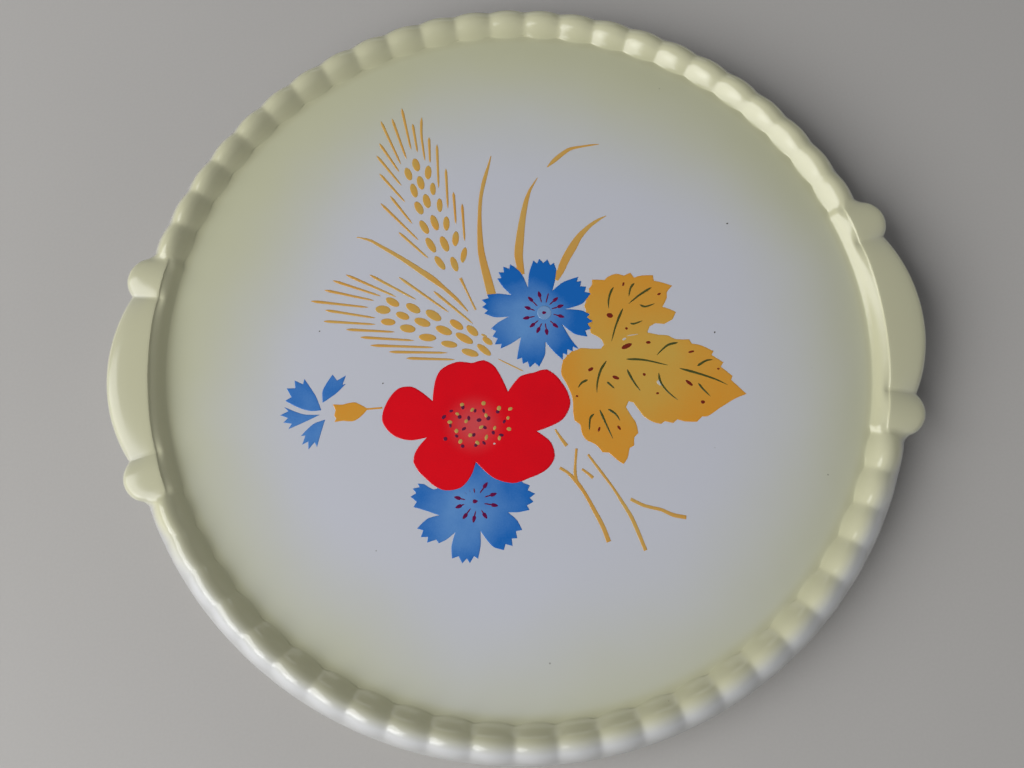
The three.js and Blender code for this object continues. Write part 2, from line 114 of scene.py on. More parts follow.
def openTree(name, kind, inputs, outputs):
    tree = bpy.data.node_groups.new(name, kind)
    for label, (socketType, default) in inputs.items():
        socket = tree.interface.new_socket(name=label, in_out="INPUT", socket_type="NodeSocket" + socketType)
        if default is not None:
            socket.default_value = default
    for label, socketType in outputs.items():
        tree.interface.new_socket(name=label, in_out="OUTPUT", socket_type="NodeSocket" + socketType)
    return tree, tree.nodes.new("NodeGroupInput").outputs, tree.nodes.new("NodeGroupOutput").inputs


def meshObject(name, vertices, edges=(), faces=()):
    mesh = bpy.data.meshes.new(name)
    mesh.from_pydata([tuple(v) for v in vertices], list(edges), list(faces))
    mesh.update()
    piece = bpy.data.objects.new(name, mesh)
    bpy.context.scene.collection.objects.link(piece)
    return piece


def setAttribute(piece, name, values, kind="FLOAT"):
    attribute = piece.data.attributes.new(name, kind, "POINT")
    field = "vector" if kind == "FLOAT_VECTOR" else "value"
    attribute.data.foreach_set(field, np.array(values, np.float32).ravel())


def growWith(piece, tree, material, values):
    # Runs a Geometry Nodes tree on the piece and keeps the result as a plain mesh.
    modifier = piece.modifiers.new("grow", "NODES")
    modifier.node_group = tree
    for socket in tree.interface.items_tree:
        if socket.in_out == "INPUT" and socket.name in values:
            modifier[socket.identifier] = values[socket.name]
        if socket.in_out == "INPUT" and socket.name == "Material":
            modifier[socket.identifier] = material
    graph = bpy.context.evaluated_depsgraph_get()
    grown = bpy.data.meshes.new_from_object(piece.evaluated_get(graph), depsgraph=graph)
    piece.modifiers.remove(modifier)
    grown.materials.clear()
    grown.materials.append(material)
    grown.polygons.foreach_set("material_index", [0] * len(grown.polygons))
    piece.data = grown
    return piece


def faceOutwards(piece):
    shell = bmesh.new()
    shell.from_mesh(piece.data)
    bmesh.ops.remove_doubles(shell, verts=shell.verts, dist=1e-7)
    bmesh.ops.recalc_face_normals(shell, faces=shell.faces)
    shell.to_mesh(piece.data)
    shell.free()
    piece.data.shade_smooth()


def settle(piece, slot, *nodes):
    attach(piece, "root")
    if nodes:
        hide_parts(*nodes)


def smoothPath(points, steps):
    # Catmull-Rom through the points, all columns of numbers alike.
    points = np.array(points, float)
    padded = np.vstack([points[:1], points, points[-1:]])
    run = []
    for before, start, end, after in zip(padded, padded[1:], padded[2:], padded[3:]):
        for step in range(steps):
            t = step / steps
            run.append(0.5 * (2 * start + (end - before) * t
                              + (2 * before - 5 * start + 4 * end - after) * t ** 2
                              + (3 * start - before - 3 * end + after) * t ** 3))
    return np.array(run + [points[-1]])


# Shader groups that several finishes share

def makeSprayFade():
    # Two glazes sprayed over each other: one in the middle, one towards the rim.
    tree, get, put = openTree("sprayFade", "ShaderNodeTree", {
        "Middle": ("Color", (1, 1, 1, 1)), "Edge": ("Color", (1, 1, 1, 1)),
        "Start Radius": ("Float", 0.06), "End Radius": ("Float", 0.14),
        "Drift": ("Float", 0.02), "Cloud Scale": ("Float", 12.0), "Centre": ("Vector", (0, 0, 0)),
    }, {"Colour": "Color"})
    own = addNode(tree, "ShaderNodeTexCoord").outputs["Object"]
    place = addNode(tree, "ShaderNodeVectorMath", {0: own, 1: get["Centre"]}, operation="SUBTRACT").outputs[0]
    cloud = addNode(tree, "ShaderNodeTexNoise", {"Vector": place, "Scale": get["Cloud Scale"], "Detail": 3.0})
    flat = addNode(tree, "ShaderNodeVectorMath", {0: place, 1: (1, 1, 0)}, operation="MULTIPLY")
    reach = addNode(tree, "ShaderNodeVectorMath", {0: flat.outputs[0]}, operation="LENGTH").outputs["Value"]
    shift = calc(tree, "MULTIPLY", calc(tree, "SUBTRACT", cloud.outputs["Fac"], 0.5), get["Drift"])
    amount = rampValue(tree, calc(tree, "ADD", reach, shift), get["Start Radius"], get["End Radius"])
    tree.links.new(mixColour(tree, amount, get["Middle"], get["Edge"]), put["Colour"])
    return tree


def makeSpecks():
    # Pits and stray grains of colour in a glaze.
    tree, get, put = openTree("specks", "ShaderNodeTree", {
        "Scale": ("Float", 90.0), "Size": ("Float", 0.06), "Share": ("Float", 0.2),
    }, {"Mask": "Float"})
    place = addNode(tree, "ShaderNodeTexCoord").outputs["Object"]
    cells = addNode(tree, "ShaderNodeTexVoronoi", {"Vector": place, "Scale": get["Scale"]})
    lot = addNode(tree, "ShaderNodeSeparateColor", {"Color": cells.outputs["Color"]}).outputs[0]
    size = calc(tree, "MULTIPLY", get["Size"], lot)
    near = calc(tree, "LESS_THAN", cells.outputs["Distance"], size)
    chosen = calc(tree, "GREATER_THAN", lot, calc(tree, "SUBTRACT", 1.0, get["Share"]))
    tree.links.new(calc(tree, "MULTIPLY", near, chosen), put["Mask"])
    return tree


def makeMottle():
    # Sprayed colour with soft clouds and a fine grain of droplets.
    tree, get, put = openTree("mottle", "ShaderNodeTree", {
        "Light": ("Color", (1, 1, 1, 1)), "Deep": ("Color", (1, 1, 1, 1)), "Lean": ("Float", 0.5),
        "Cloud Scale": ("Float", 60.0), "Cloud": ("Float", 0.5),
        "Grain Scale": ("Float", 1500.0), "Grain": ("Float", 0.2),
    }, {"Colour": "Color"})
    place = addNode(tree, "ShaderNodeTexCoord").outputs["Object"]
    cloud = addNode(tree, "ShaderNodeTexNoise", {"Vector": place, "Scale": get["Cloud Scale"], "Detail": 3.0})
    grain = addNode(tree, "ShaderNodeTexNoise", {"Vector": place, "Scale": get["Grain Scale"], "Detail": 2.0})
    clouds = calc(tree, "MULTIPLY", calc(tree, "SUBTRACT", cloud.outputs["Fac"], 0.5), get["Cloud"])
    grains = calc(tree, "MULTIPLY", calc(tree, "SUBTRACT", grain.outputs["Fac"], 0.5), get["Grain"])
    amount = calc(tree, "ADD", get["Lean"], calc(tree, "ADD", clouds, grains))
    held = addNode(tree, "ShaderNodeClamp", {"Value": amount}).outputs[0]
    tree.links.new(mixColour(tree, held, get["Light"], get["Deep"]), put["Colour"])
    return tree


def makeRipple():
    # The slight unevenness of a fired, hand-dipped surface.
    tree, get, put = openTree("ripple", "ShaderNodeTree", {
        "Broad Scale": ("Float", 25.0), "Fine Scale": ("Float", 400.0), "Fine Share": ("Float", 0.1),
    }, {"Height": "Float"})
    place = addNode(tree, "ShaderNodeTexCoord").outputs["Object"]
    broad = addNode(tree, "ShaderNodeTexNoise", {"Vector": place, "Scale": get["Broad Scale"], "Detail": 1.0})
    fine = addNode(tree, "ShaderNodeTexNoise", {"Vector": place, "Scale": get["Fine Scale"], "Detail": 2.0})
    total = calc(tree, "ADD", broad.outputs["Fac"],
                 calc(tree, "MULTIPLY", fine.outputs["Fac"], get["Fine Share"]))
    tree.links.new(total, put["Height"])
    return tree


groups = {"sprayFade": makeSprayFade(), "specks": makeSpecks(), "mottle": makeMottle(),
          "ripple": makeRipple()}


def placeGroup(tree, name, values):
    return addNode(tree, "ShaderNodeGroup", values, node_tree=groups[name]).outputs


def startMaterial(name, roughness, coat=0.0, coatRoughness=0.05):
    material = bpy.data.materials.new(name)
    material.use_nodes = True
    shader = material.node_tree.nodes["Principled BSDF"]
    shader.inputs["Roughness"].default_value = roughness
    shader.inputs["Coat Weight"].default_value = coat
    shader.inputs["Coat Roughness"].default_value = coatRoughness
    return material, material.node_tree, shader


def bumpInto(tree, shader, height, distance):
    bump = addNode(tree, "ShaderNodeBump", {"Height": height, "Distance": distance, "Strength": 1.0})
    tree.links.new(bump.outputs["Normal"], shader.inputs["Normal"])


print("shader groups ready")


# The glazed body: bluish white in the middle, sprayed yellow towards the rim

glaze = {
    "white": (0.610, 0.624, 0.690, 1),
    "yellow": (0.574, 0.578, 0.400, 1),
    "rimYellow": (0.575, 0.565, 0.385, 1),
    "lipWhite": (0.450, 0.450, 0.440, 1),
    # olive of the glaze pooled in the corner, deepened and tinted as painted shade
    "pool": (0.330, 0.330, 0.130, 1),
    "biscuit": (0.520, 0.400, 0.290, 1),
    "speck": (0.060, 0.055, 0.040, 1),
    "fadeStart": 0.080,
    "fadeEnd": 0.150,
    "drift": 0.050,
    "cloudScale": 9.0,
    "whiteCentre": (0.003, -0.010, 0.0),
    # where one colour passes into the next: from and to, in mm
    "rimInside": (20, 13),        # inside the lip, from the well's yellow to the rim's
    "nearSide": (-50, -85),       # along Y, into the whiter near half of the rim
    "crestInside": (11, 4),       # inside the lip, across the crest of that half
    "lipInside": (9, 3),          # inside the lip, over to the outer flank
    "flankAbove": (5.2, -1.5),    # above the well, down the outer flank
    "poolAndShadeAround": (3.5, 0.5),     # around the foot of the slope
    "footAbove": (0.9, 0.5),      # above the table, down to the bare foot
    "slopeFoot": 15,              # the foot of the slope, inside the lip
    # share of white in the painted reflection on the near half of the rim
    "paintedNearReflection": 0.75,
    "poolAndShadeStrength": 0.12,
    "specks": {"Scale": 70.0, "Size": 0.024, "Share": 0.26},
    "speckStrength": 0.50,
    "roughness": 0.16,
    "footRoughness": 0.85,
    "ripple": {"Broad Scale": 22.0, "Fine Scale": 320.0, "Fine Share": 0.04},
    "rippleDepth": 0.00030,
}


def makeGlaze():
    material, tree, shader = startMaterial("creamGlaze", glaze["roughness"])
    place = addNode(tree, "ShaderNodeTexCoord").outputs["Object"]
    x, y, z = splitVector(tree, place)
    reach = calc(tree, "SQRT", calc(tree, "ADD", calc(tree, "MULTIPLY", x, x), calc(tree, "MULTIPLY", y, y)))

    def between(value, key, base=0.0, sign=1, high=1.0):
        start, end = glaze[key]
        return rampValue(tree, value, base + sign * start * mm, base + sign * end * mm, 0.0, high)

    def insideLip(key, high=1.0):
        return between(reach, key, lipRadius, -1, high)

    fade = placeGroup(tree, "sprayFade", {
        "Middle": glaze["white"], "Edge": glaze["yellow"], "Start Radius": glaze["fadeStart"],
        "End Radius": glaze["fadeEnd"], "Drift": glaze["drift"], "Cloud Scale": glaze["cloudScale"],
        "Centre": glaze["whiteCentre"]})
    colour = mixColour(tree, insideLip("rimInside"), fade["Colour"], glaze["rimYellow"])
    # painted reflection: the near half of the rim, on the window's side, is made whiter outside its crest to
    # stand in for the window's light reflected there; a guess: the spray is thinner on the near half of the
    # rim, which is whiter outside its crest
    paintedNearReflection = calc(tree, "MULTIPLY", between(y, "nearSide"), insideLip("crestInside", glaze["paintedNearReflection"]))
    colour = mixColour(tree, paintedNearReflection, colour, glaze["white"])
    # it misses the outer flank, so the lip and the underside stay white
    flank = calc(tree, "MULTIPLY", between(z, "flankAbove", wellHeight), insideLip("lipInside"))
    colour = mixColour(tree, flank, colour, glaze["lipWhite"])
    # glaze runs thick into the corner at the foot of the slope; the olive darkening there is partly that
    # pooling and partly painted shade, the corner's shade with its warm bounced light
    corner = calc(tree, "ABSOLUTE", calc(tree, "SUBTRACT", reach, lipRadius - glaze["slopeFoot"] * mm))
    colour = mixColour(tree, between(corner, "poolAndShadeAround", high=glaze["poolAndShadeStrength"]), colour, glaze["pool"])
    specks = placeGroup(tree, "specks", glaze["specks"])["Mask"]
    colour = mixColour(tree, calc(tree, "MULTIPLY", specks, glaze["speckStrength"]), colour, glaze["speck"])
    bare = between(z, "footAbove")
    colour = mixColour(tree, bare, colour, glaze["biscuit"])
    tree.links.new(colour, shader.inputs["Base Color"])
    roughness = rampValue(tree, bare, 0.0, 1.0, glaze["roughness"], glaze["footRoughness"])
    tree.links.new(roughness, shader.inputs["Roughness"])
    bumpInto(tree, shader, placeGroup(tree, "ripple", glaze["ripple"])["Height"], glaze["rippleDepth"])
    return material


# Sections as (radius, height above the well) in mm, from the well out to the lip
plateShape = {
    "pillow": [(138.0, 0), (140.2, 0.6), (142.2, 2.5), (144.2, 4.8), (146.7, 5.9), (149.3, 5.2),
               (151.8, 2.8), (153.8, 0), (155.0, -3.2), (153.4, -5.4)],
    "groove": [(139.4, 0), (141.0, 0.5), (142.8, 2.2), (144.6, 3.8), (146.7, 4.6), (149.1, 4.0),
               (151.4, 2.0), (153.4, -0.5), (155.0, -3.2), (153.4, -5.4)],
    # a tab's own radius, its share of the tab's reach, height, share of the crease's dip
    "tab": [(138.0, 0, 0, 0), (140.2, 0, 0.8, 0), (142.2, 0, 3.0, 0), (144.4, 0, 4.7, 1),
            (145.7, 0, 5.1, 1), (-3.4, 1, 4.4, 1), (-0.8, 1, 2.9, 0.5), (0, 1, 0.9, 0),
            (-2.2, 1, -1.5, 0), (152.4, 0, -3.3, 0)],
    "underside": [(147, 9.0), (138, 8.5), (128, 8.0), (117, 7.1), (112.5, 6.5), (111.0, 5.2), (110.2, 2.4),
                  (109.4, 0.5), (108.6, 0.0), (106.8, 0.0), (105.0, 0.0), (104.3, 0.5), (103.6, 2.6),
                  (102.9, 6.2), (101.6, 8.4), (99, 9.4), (70, 9.6), (0, 9.7)],
    "pillowsPerQuarter": 12,
    "handleHalfAngle": 19.0,
    "creaseAngle": 12.3,
    "creaseDepth": 1.6,
    "arcSharpness": 5.0,     # how late the arc of a tab starts to dip
    "arcX": 97.8, "arcRadius": 64.0,
    "knobX": 144.8, "knobY": 39.4, "knobRadius": 9.8,
    "columnsPerPillow": 24, "arcColumns": 26, "knobColumns": 26,
    "grooveSoftness": 0.35,  # how wide a groove is rounded, as a share of its pillow's fullness
    "stepsPerStretch": 4,
}


def makeSectionStrip():
    # One row of points from the middle of the well over the rim to the middle of the underside.
    steps = plateShape["stepsPerStretch"]
    lead = [(128.0, 0)]
    pillow = smoothPath(lead + plateShape["pillow"], steps)
    groove = smoothPath(lead + plateShape["groove"], steps)
    tab = smoothPath([(128.0, 0, 0, 0)] + plateShape["tab"], steps)
    well = [(0, 0), (50, 0), (104, 0)]
    deep = [(radius, height - wellHeight / mm) for radius, height in plateShape["underside"]]
    rows = len(well) + len(pillow) + len(deep)
    plainTab = lambda rings: [(radius, 0, height, 0) for radius, height in rings]
    pillowRows = np.vstack([well, pillow, deep])
    grooveRows = np.vstack([well, groove, deep])
    tabRows = np.vstack([plainTab(well), tab, plainTab(deep)])
    strip = meshObject("plateSection", [(0, 0, row) for row in range(rows)])
    asVector = lambda table: np.column_stack([table[:, 0], np.zeros(rows), table[:, 1]]) * mm
    setAttribute(strip, "pillow", asVector(pillowRows), "FLOAT_VECTOR")
    setAttribute(strip, "groove", asVector(grooveRows), "FLOAT_VECTOR")
    tabVector = np.column_stack([tabRows[:, 0] * mm, tabRows[:, 1], tabRows[:, 2] * mm])
    setAttribute(strip, "tab", tabVector, "FLOAT_VECTOR")
    setAttribute(strip, "tabDip", tabRows[:, 3])
    return strip, rows


def makePlateTree():
    # Sweeps the section strip through a quarter turn by the rim's rule, then mirrors it twice.
    tree, get, put = openTree("mouldedPlate", "GeometryNodeTree", {
        "Geometry": ("Geometry", None), "Rows": ("Int", 60), "Pillows": ("Int", 12),
        "Columns per Pillow": ("Int", 18), "Arc Columns": ("Int", 26), "Knob Columns": ("Int", 26),
        "Handle Half Angle": ("Float", 0.33), "Crease Angle": ("Float", 0.21),
        "Crease Depth": ("Float", 0.0016), "Arc Sharpness": ("Float", 5.0),
        "Groove Softness": ("Float", 0.35), "Lip Radius": ("Float", 0.155),
        "Arc X": ("Float", 0.1), "Arc Radius": ("Float", 0.059), "Knob X": ("Float", 0.145),
        "Knob Y": ("Float", 0.039), "Knob Radius": ("Float", 0.0098), "Well Height": ("Float", 0.0155),
        "Material": ("Material", None),
    }, {"Geometry": "Geometry"})

    def do(operation, *terms):
        return calc(tree, operation, *terms)

    def held(value):
        return addNode(tree, "ShaderNodeClamp", {"Value": value}).outputs[0]

    rimColumns = do("MULTIPLY", get["Pillows"], get["Columns per Pillow"])
    tabColumns = do("ADD", get["Arc Columns"], get["Knob Columns"])
    allColumns = do("ADD", rimColumns, tabColumns)
    grid = addNode(tree, "GeometryNodeMeshGrid", {
        "Size X": 1.0, "Size Y": 1.0, "Vertices X": do("ADD", allColumns, 1.0), "Vertices Y": get["Rows"]})
    spot = addNode(tree, "GeometryNodeInputPosition").outputs[0]
    spotX, spotY, _ = splitVector(tree, spot)
    column = do("ROUND", do("MULTIPLY", do("ADD", spotX, 0.5), allColumns))
    row = do("ROUND", do("MULTIPLY", do("ADD", spotY, 0.5), do("SUBTRACT", get["Rows"], 1.0)))
    arcShare = held(do("DIVIDE", column, get["Arc Columns"]))
    knobShare = held(do("DIVIDE", do("SUBTRACT", column, get["Arc Columns"]), get["Knob Columns"]))
    rimSteps = do("MAXIMUM", do("SUBTRACT", column, tabColumns), 0.0)
    rimShare = do("DIVIDE", rimSteps, rimColumns)
    knobSweep = do("SUBTRACT", get["Handle Half Angle"], get["Crease Angle"])
    rimSweep = do("SUBTRACT", math.pi / 2, get["Handle Half Angle"])
    angle = do("ADD", do("MULTIPLY", get["Crease Angle"], arcShare),
               do("ADD", do("MULTIPLY", knobSweep, knobShare), do("MULTIPLY", rimSweep, rimShare)))

    # how full the pillow is here: 1 in its middle, 0 in a groove
    phase = do("FRACT", do("DIVIDE", do("ADD", rimSteps, 0.001), get["Columns per Pillow"]))
    across = do("SUBTRACT", do("MULTIPLY", phase, 2.0), 1.0)
    rise = do("SUBTRACT", 1.0, do("MULTIPLY", across, across))
    # the glaze rounds the groove, so the rise starts level from its bottom
    soft = get["Groove Softness"]
    softSquare = do("MULTIPLY", soft, soft)
    softened = lambda value: do(
        "SUBTRACT", do("SQRT", do("ADD", do("MULTIPLY", value, value), softSquare)), soft)
    fullness = do("DIVIDE", softened(rise), softened(1.0))

    # how far a handle tab dips into its creases
    arcDip = do("POWER", arcShare, get["Arc Sharpness"])
    knobAcross = do("SUBTRACT", do("MULTIPLY", knobShare, 2.0), 1.0)
    knobDip = do("MULTIPLY", knobAcross, knobAcross)
    onKnob = do("GREATER_THAN", knobShare, 0.0)
    shareOfDip = do("ADD", do("MULTIPLY", onKnob, knobDip),
                    do("MULTIPLY", do("SUBTRACT", 1.0, onKnob), arcDip))
    dip = do("MULTIPLY", shareOfDip, get["Crease Depth"])

    # how far a ray at this angle runs before it leaves the arc or the knob of a tab
    def rayReach(centreX, centreY, radius):
        along = do("ADD", do("MULTIPLY", centreX, do("COSINE", angle)),
                   do("MULTIPLY", centreY, do("SINE", angle)))
        far = do("ADD", do("MULTIPLY", centreX, centreX), do("MULTIPLY", centreY, centreY))
        square = do("ADD", do("SUBTRACT", do("MULTIPLY", along, along), far), do("MULTIPLY", radius, radius))
        found = do("ADD", along, do("SQRT", do("MAXIMUM", square, 0.0)))
        return do("MULTIPLY", found, do("GREATER_THAN", square, 0.0))

    tabReach = do("MAXIMUM", get["Lip Radius"], do("MAXIMUM",
                  rayReach(get["Arc X"], 0.0, get["Arc Radius"]),
                  rayReach(get["Knob X"], get["Knob Y"], get["Knob Radius"])))

    def sample(name, kind):
        value = readAttribute(tree, name, kind)
        found = addNode(tree, "GeometryNodeSampleIndex", {
            "Geometry": get["Geometry"], "Value": value, "Index": row}, data_type=kind)
        return found.outputs["Value"]

    rim = addNode(tree, "ShaderNodeMix", {"Factor": fullness, 4: sample("groove", "FLOAT_VECTOR"),
                                          5: sample("pillow", "FLOAT_VECTOR")}, data_type="VECTOR")
    rimRadius, _, rimHeight = splitVector(tree, rim.outputs[1])
    tabOwn, tabFollow, tabTop = splitVector(tree, sample("tab", "FLOAT_VECTOR"))
    tabRadius = do("ADD", tabOwn, do("MULTIPLY", tabFollow, tabReach))
    tabHeight = do("SUBTRACT", tabTop, do("MULTIPLY", sample("tabDip", "FLOAT"), dip))
    onRim = rampValue(tree, column, do("SUBTRACT", tabColumns, 4.0), do("ADD", tabColumns, 3.0))

    def choose(onTab, off):
        return do("ADD", do("MULTIPLY", onRim, off), do("MULTIPLY", do("SUBTRACT", 1.0, onRim), onTab))

    radius = choose(tabRadius, rimRadius)
    height = do("ADD", choose(tabHeight, rimHeight), get["Well Height"])
    place = addNode(tree, "ShaderNodeCombineXYZ", {
        "X": do("MULTIPLY", radius, do("COSINE", angle)),
        "Y": do("MULTIPLY", radius, do("SINE", angle)), "Z": height})
    quarter = addNode(tree, "GeometryNodeSetPosition", {
        "Geometry": grid.outputs["Mesh"], "Position": place.outputs[0]}).outputs[0]

    def withMirror(geometry, scale):
        mirrored = addNode(tree, "GeometryNodeTransform", {"Geometry": geometry, "Scale": scale}).outputs[0]
        joined = addNode(tree, "GeometryNodeJoinGeometry")
        tree.links.new(geometry, joined.inputs[0])
        flipped = addNode(tree, "GeometryNodeFlipFaces", {"Mesh": mirrored}).outputs[0]
        tree.links.new(flipped, joined.inputs[0])
        return joined.outputs[0]

    whole = withMirror(withMirror(quarter, (1, -1, 1)), (-1, 1, 1))
    real = addNode(tree, "GeometryNodeRealizeInstances", {"Geometry": whole})
    merged = addNode(tree, "GeometryNodeMergeByDistance", {"Geometry": real.outputs[0], "Distance": 0.00001})
    return finishTree(tree, merged.outputs[0], get, put)


def makePlate():
    strip, rows = makeSectionStrip()
    shape = plateShape
    plate = growWith(strip, makePlateTree(), makeGlaze(), {
        "Rows": rows, "Pillows": shape["pillowsPerQuarter"],
        "Columns per Pillow": shape["columnsPerPillow"], "Arc Columns": shape["arcColumns"],
        "Knob Columns": shape["knobColumns"],
        "Handle Half Angle": math.radians(shape["handleHalfAngle"]),
        "Crease Angle": math.radians(shape["creaseAngle"]), "Crease Depth": shape["creaseDepth"] * mm,
        "Arc Sharpness": shape["arcSharpness"], "Groove Softness": shape["grooveSoftness"],
        "Lip Radius": lipRadius, "Arc X": shape["arcX"] * mm, "Arc Radius": shape["arcRadius"] * mm,
        "Knob X": shape["knobX"] * mm, "Knob Y": shape["knobY"] * mm,
        "Knob Radius": shape["knobRadius"] * mm, "Well Height": wellHeight})
    plate.name = "glazedPlate"
    faceOutwards(plate)
    settle(plate, "cream_glaze", "plate_body")
    print("plate body:", len(plate.data.vertices), "vertices")


makePlate()


# Enamel colours

enamel = {
    "roughness": 0.24,
    "coat": 0.12,
    "coatRoughness": 0.10,
    "grainScale": 1600.0,
    "darkest": 0.45,         # the pooled edge, as a share of the deep colour
    "ripple": {"Broad Scale": 120.0, "Fine Scale": 900.0, "Fine Share": 0.3},
    "rippleDepth": 0.00003,
}


def makeEnamel(name, light, deep, lean, cloud=0.6, cloudScale=70.0, grain=0.25, edgeDark=0.12):
    # lean is a number, or a function that builds the lean from tree and place
    material, tree, shader = startMaterial(name, enamel["roughness"], enamel["coat"], enamel["coatRoughness"])
    place = addNode(tree, "ShaderNodeTexCoord").outputs["Object"]
    amount = lean(tree, place) if callable(lean) else lean
    sprayed = placeGroup(tree, "mottle", {
        "Light": light, "Deep": deep, "Lean": amount, "Cloud Scale": cloudScale, "Cloud": cloud,
        "Grain Scale": enamel["grainScale"], "Grain": grain})
    edge = addNode(tree, "ShaderNodeAttribute", attribute_name="edge").outputs["Fac"]
    pooled = calc(tree, "MULTIPLY", edge, edgeDark)
    dark = tuple(enamel["darkest"] * channel for channel in deep[:3]) + (1,)
    colour = mixColour(tree, pooled, sprayed["Colour"], dark)
    tree.links.new(colour, shader.inputs["Base Color"])
    bumpInto(tree, shader, placeGroup(tree, "ripple", enamel["ripple"])["Height"], enamel["rippleDepth"])
    return material, tree, shader, colour


def reachFrom(tree, place, centre, start, end, low=0.0, high=1.0):
    # grows from low to high with the distance from a point on the well, in mm
    away = addNode(tree, "ShaderNodeVectorMath",
                   {0: place, 1: (centre[0] * mm, centre[1] * mm, wellHeight)}, operation="DISTANCE")
    return rampValue(tree, away.outputs["Value"], start * mm, end * mm, low, high)


def makeBlue(name, paleSpot, start, end, low, high):
    lean = lambda tree, place: reachFrom(tree, place, paleSpot, start, end, low, high)
    return makeEnamel(name, (0.145, 0.335, 0.680, 1), (0.010, 0.142, 0.520, 1), lean,
                      cloud=0.7, cloudScale=110.0, edgeDark=0.10)[0]


def makeRed():
    material, tree, shader, colour = makeEnamel(
        "redEnamel", (0.900, 0.003, 0.012, 1), (0.670, 0.003, 0.012, 1), 0.42,
        cloud=0.9, cloudScale=55.0, grain=0.5, edgeDark=0.30)
    place = addNode(tree, "ShaderNodeTexCoord").outputs["Object"]
    glow = reachFrom(tree, place, (-20.5, -30.0), 0.0, 13.5, 0.60, 0.0)
    tree.links.new(mixColour(tree, glow, colour, (0.640, 0.130, 0.140, 1)), shader.inputs["Base Color"])
    return material


def makeOchre(name, light, deep, cloud=1.3, cloudScale=45.0, lean=0.5):
    return makeEnamel(name, light, deep, lean, cloud=cloud, cloudScale=cloudScale, grain=0.35,
                      edgeDark=0.06)[0]


def leafLean(tree, place):
    # the leaf is paler along its middle and more orange towards its teeth
    return reachFrom(tree, place, (48.0, -9.0), 8.0, 36.0, 0.12, 0.78)


finishes = {
    "red": makeRed(),
    "upperBlue": makeBlue("blueEnamelUpper", (4.0, 11.0), 3.0, 23.0, 0.15, 1.15),
    "lowerBlue": makeBlue("blueEnamelLower", (-27.0, -63.0), 3.0, 21.0, 0.20, 0.85),
    "budBlue": makeBlue("blueEnamelBud", (-84.0, -30.0), 2.0, 22.0, 0.40, 0.75),
    "leafOchre": makeOchre("ochreEnamelLeaf", (0.640, 0.405, 0.078, 1), (0.745, 0.310, 0.030, 1),
                           cloud=0.9, lean=leafLean),
    "strokeOchre": makeOchre("ochreEnamelStroke", (0.620, 0.430, 0.130, 1), (0.670, 0.310, 0.050, 1)),
    "grainOchre": makeOchre("ochreEnamelGrain", (0.560, 0.400, 0.110, 1), (0.740, 0.350, 0.055, 1),
                            cloudScale=220.0),
    "maroon": makeEnamel("maroonEnamel", (0.200, 0.006, 0.075, 1), (0.090, 0.003, 0.045, 1), 0.5)[0],
    "spotRed": makeEnamel("spotEnamel", (0.260, 0.030, 0.012, 1), (0.130, 0.012, 0.008, 1), 0.5)[0],
    "green": makeEnamel("greenEnamel", (0.110, 0.115, 0.028, 1), (0.035, 0.055, 0.016, 1), 0.5,
                        cloudScale=300.0)[0],
    "yellowDot": makeEnamel("yellowEnamel", (0.620, 0.430, 0.120, 1), (0.420, 0.250, 0.060, 1), 0.4)[0],
    "darkDot": makeEnamel("violetEnamel", (0.180, 0.016, 0.070, 1), (0.070, 0.010, 0.040, 1), 0.5)[0],
    "paleBlue": makeEnamel("heartEnamel", (0.235, 0.390, 0.660, 1), (0.170, 0.330, 0.600, 1), 0.5)[0],
    "bareGlaze": makeEnamel("bareGlaze", (0.620, 0.610, 0.600, 1), (0.480, 0.440, 0.380, 1), 0.3)[0],
    "pit": makeEnamel("glazePit", (0.120, 0.110, 0.100, 1), (0.050, 0.045, 0.040, 1), 0.5)[0],
}
print("finishes ready:", len(finishes))


# Painted fields: a fine, round-edged skin of enamel inside a node's own outline

field = {
    "thickness": 0.08,      # mm of paint above the well
    "edgeRound": 0.22,      # mm over which the edge comes down to the well
    "edgeBand": 0.6,        # mm along the edge where the colour pools
    "spacing": 0.85,        # mm between inner points
    "outlineStep": 0.35,    # mm between outline points
    "cornerDegrees": 33.0,  # a sharper turn than this stays a corner
    "tuck": 0.9,            # mm that a field runs on under its neighbour
    "touching": 0.45,       # mm within which a neighbour's edge counts as touching
    "sink": 0.005,          # mm that the underside lies in the glaze
    "rowRatio": 0.87,       # row spacing of the inner points, as a share of theirs
    "clearance": 0.55,      # how far they keep from the outline, as a share too
    "edgeRings": (0.3, 1.0),
    "ringClearance": 0.9,
    "poppyLayer": 0.04,     # mm more paint on the poppy
    "upperLayer": 0.03,     # and on the upper cornflower
}


def nodeOutline(node):
    # The node's outline as seen from above, in mm, anticlockwise.
    shell = bmesh.new()
    shell.from_mesh(frame["nodes"][node].data)
    bmesh.ops.remove_doubles(shell, verts=shell.verts, dist=1e-6)
    following = {}
    for face in shell.faces:
        if face.normal.z > 0.9:
            for loop in face.loops:
                others = [f for f in loop.edge.link_faces if f is not face]
                if others and abs(others[0].normal.z) < 0.5:
                    following[loop.vert] = loop.link_loop_next.vert
    start = next(iter(following))
    outline = [start]
    while following[outline[-1]] is not start:
        outline.append(following[outline[-1]])
    points = np.array([(v.co.x / mm, v.co.y / mm) for v in outline])
    shell.free()
    return points


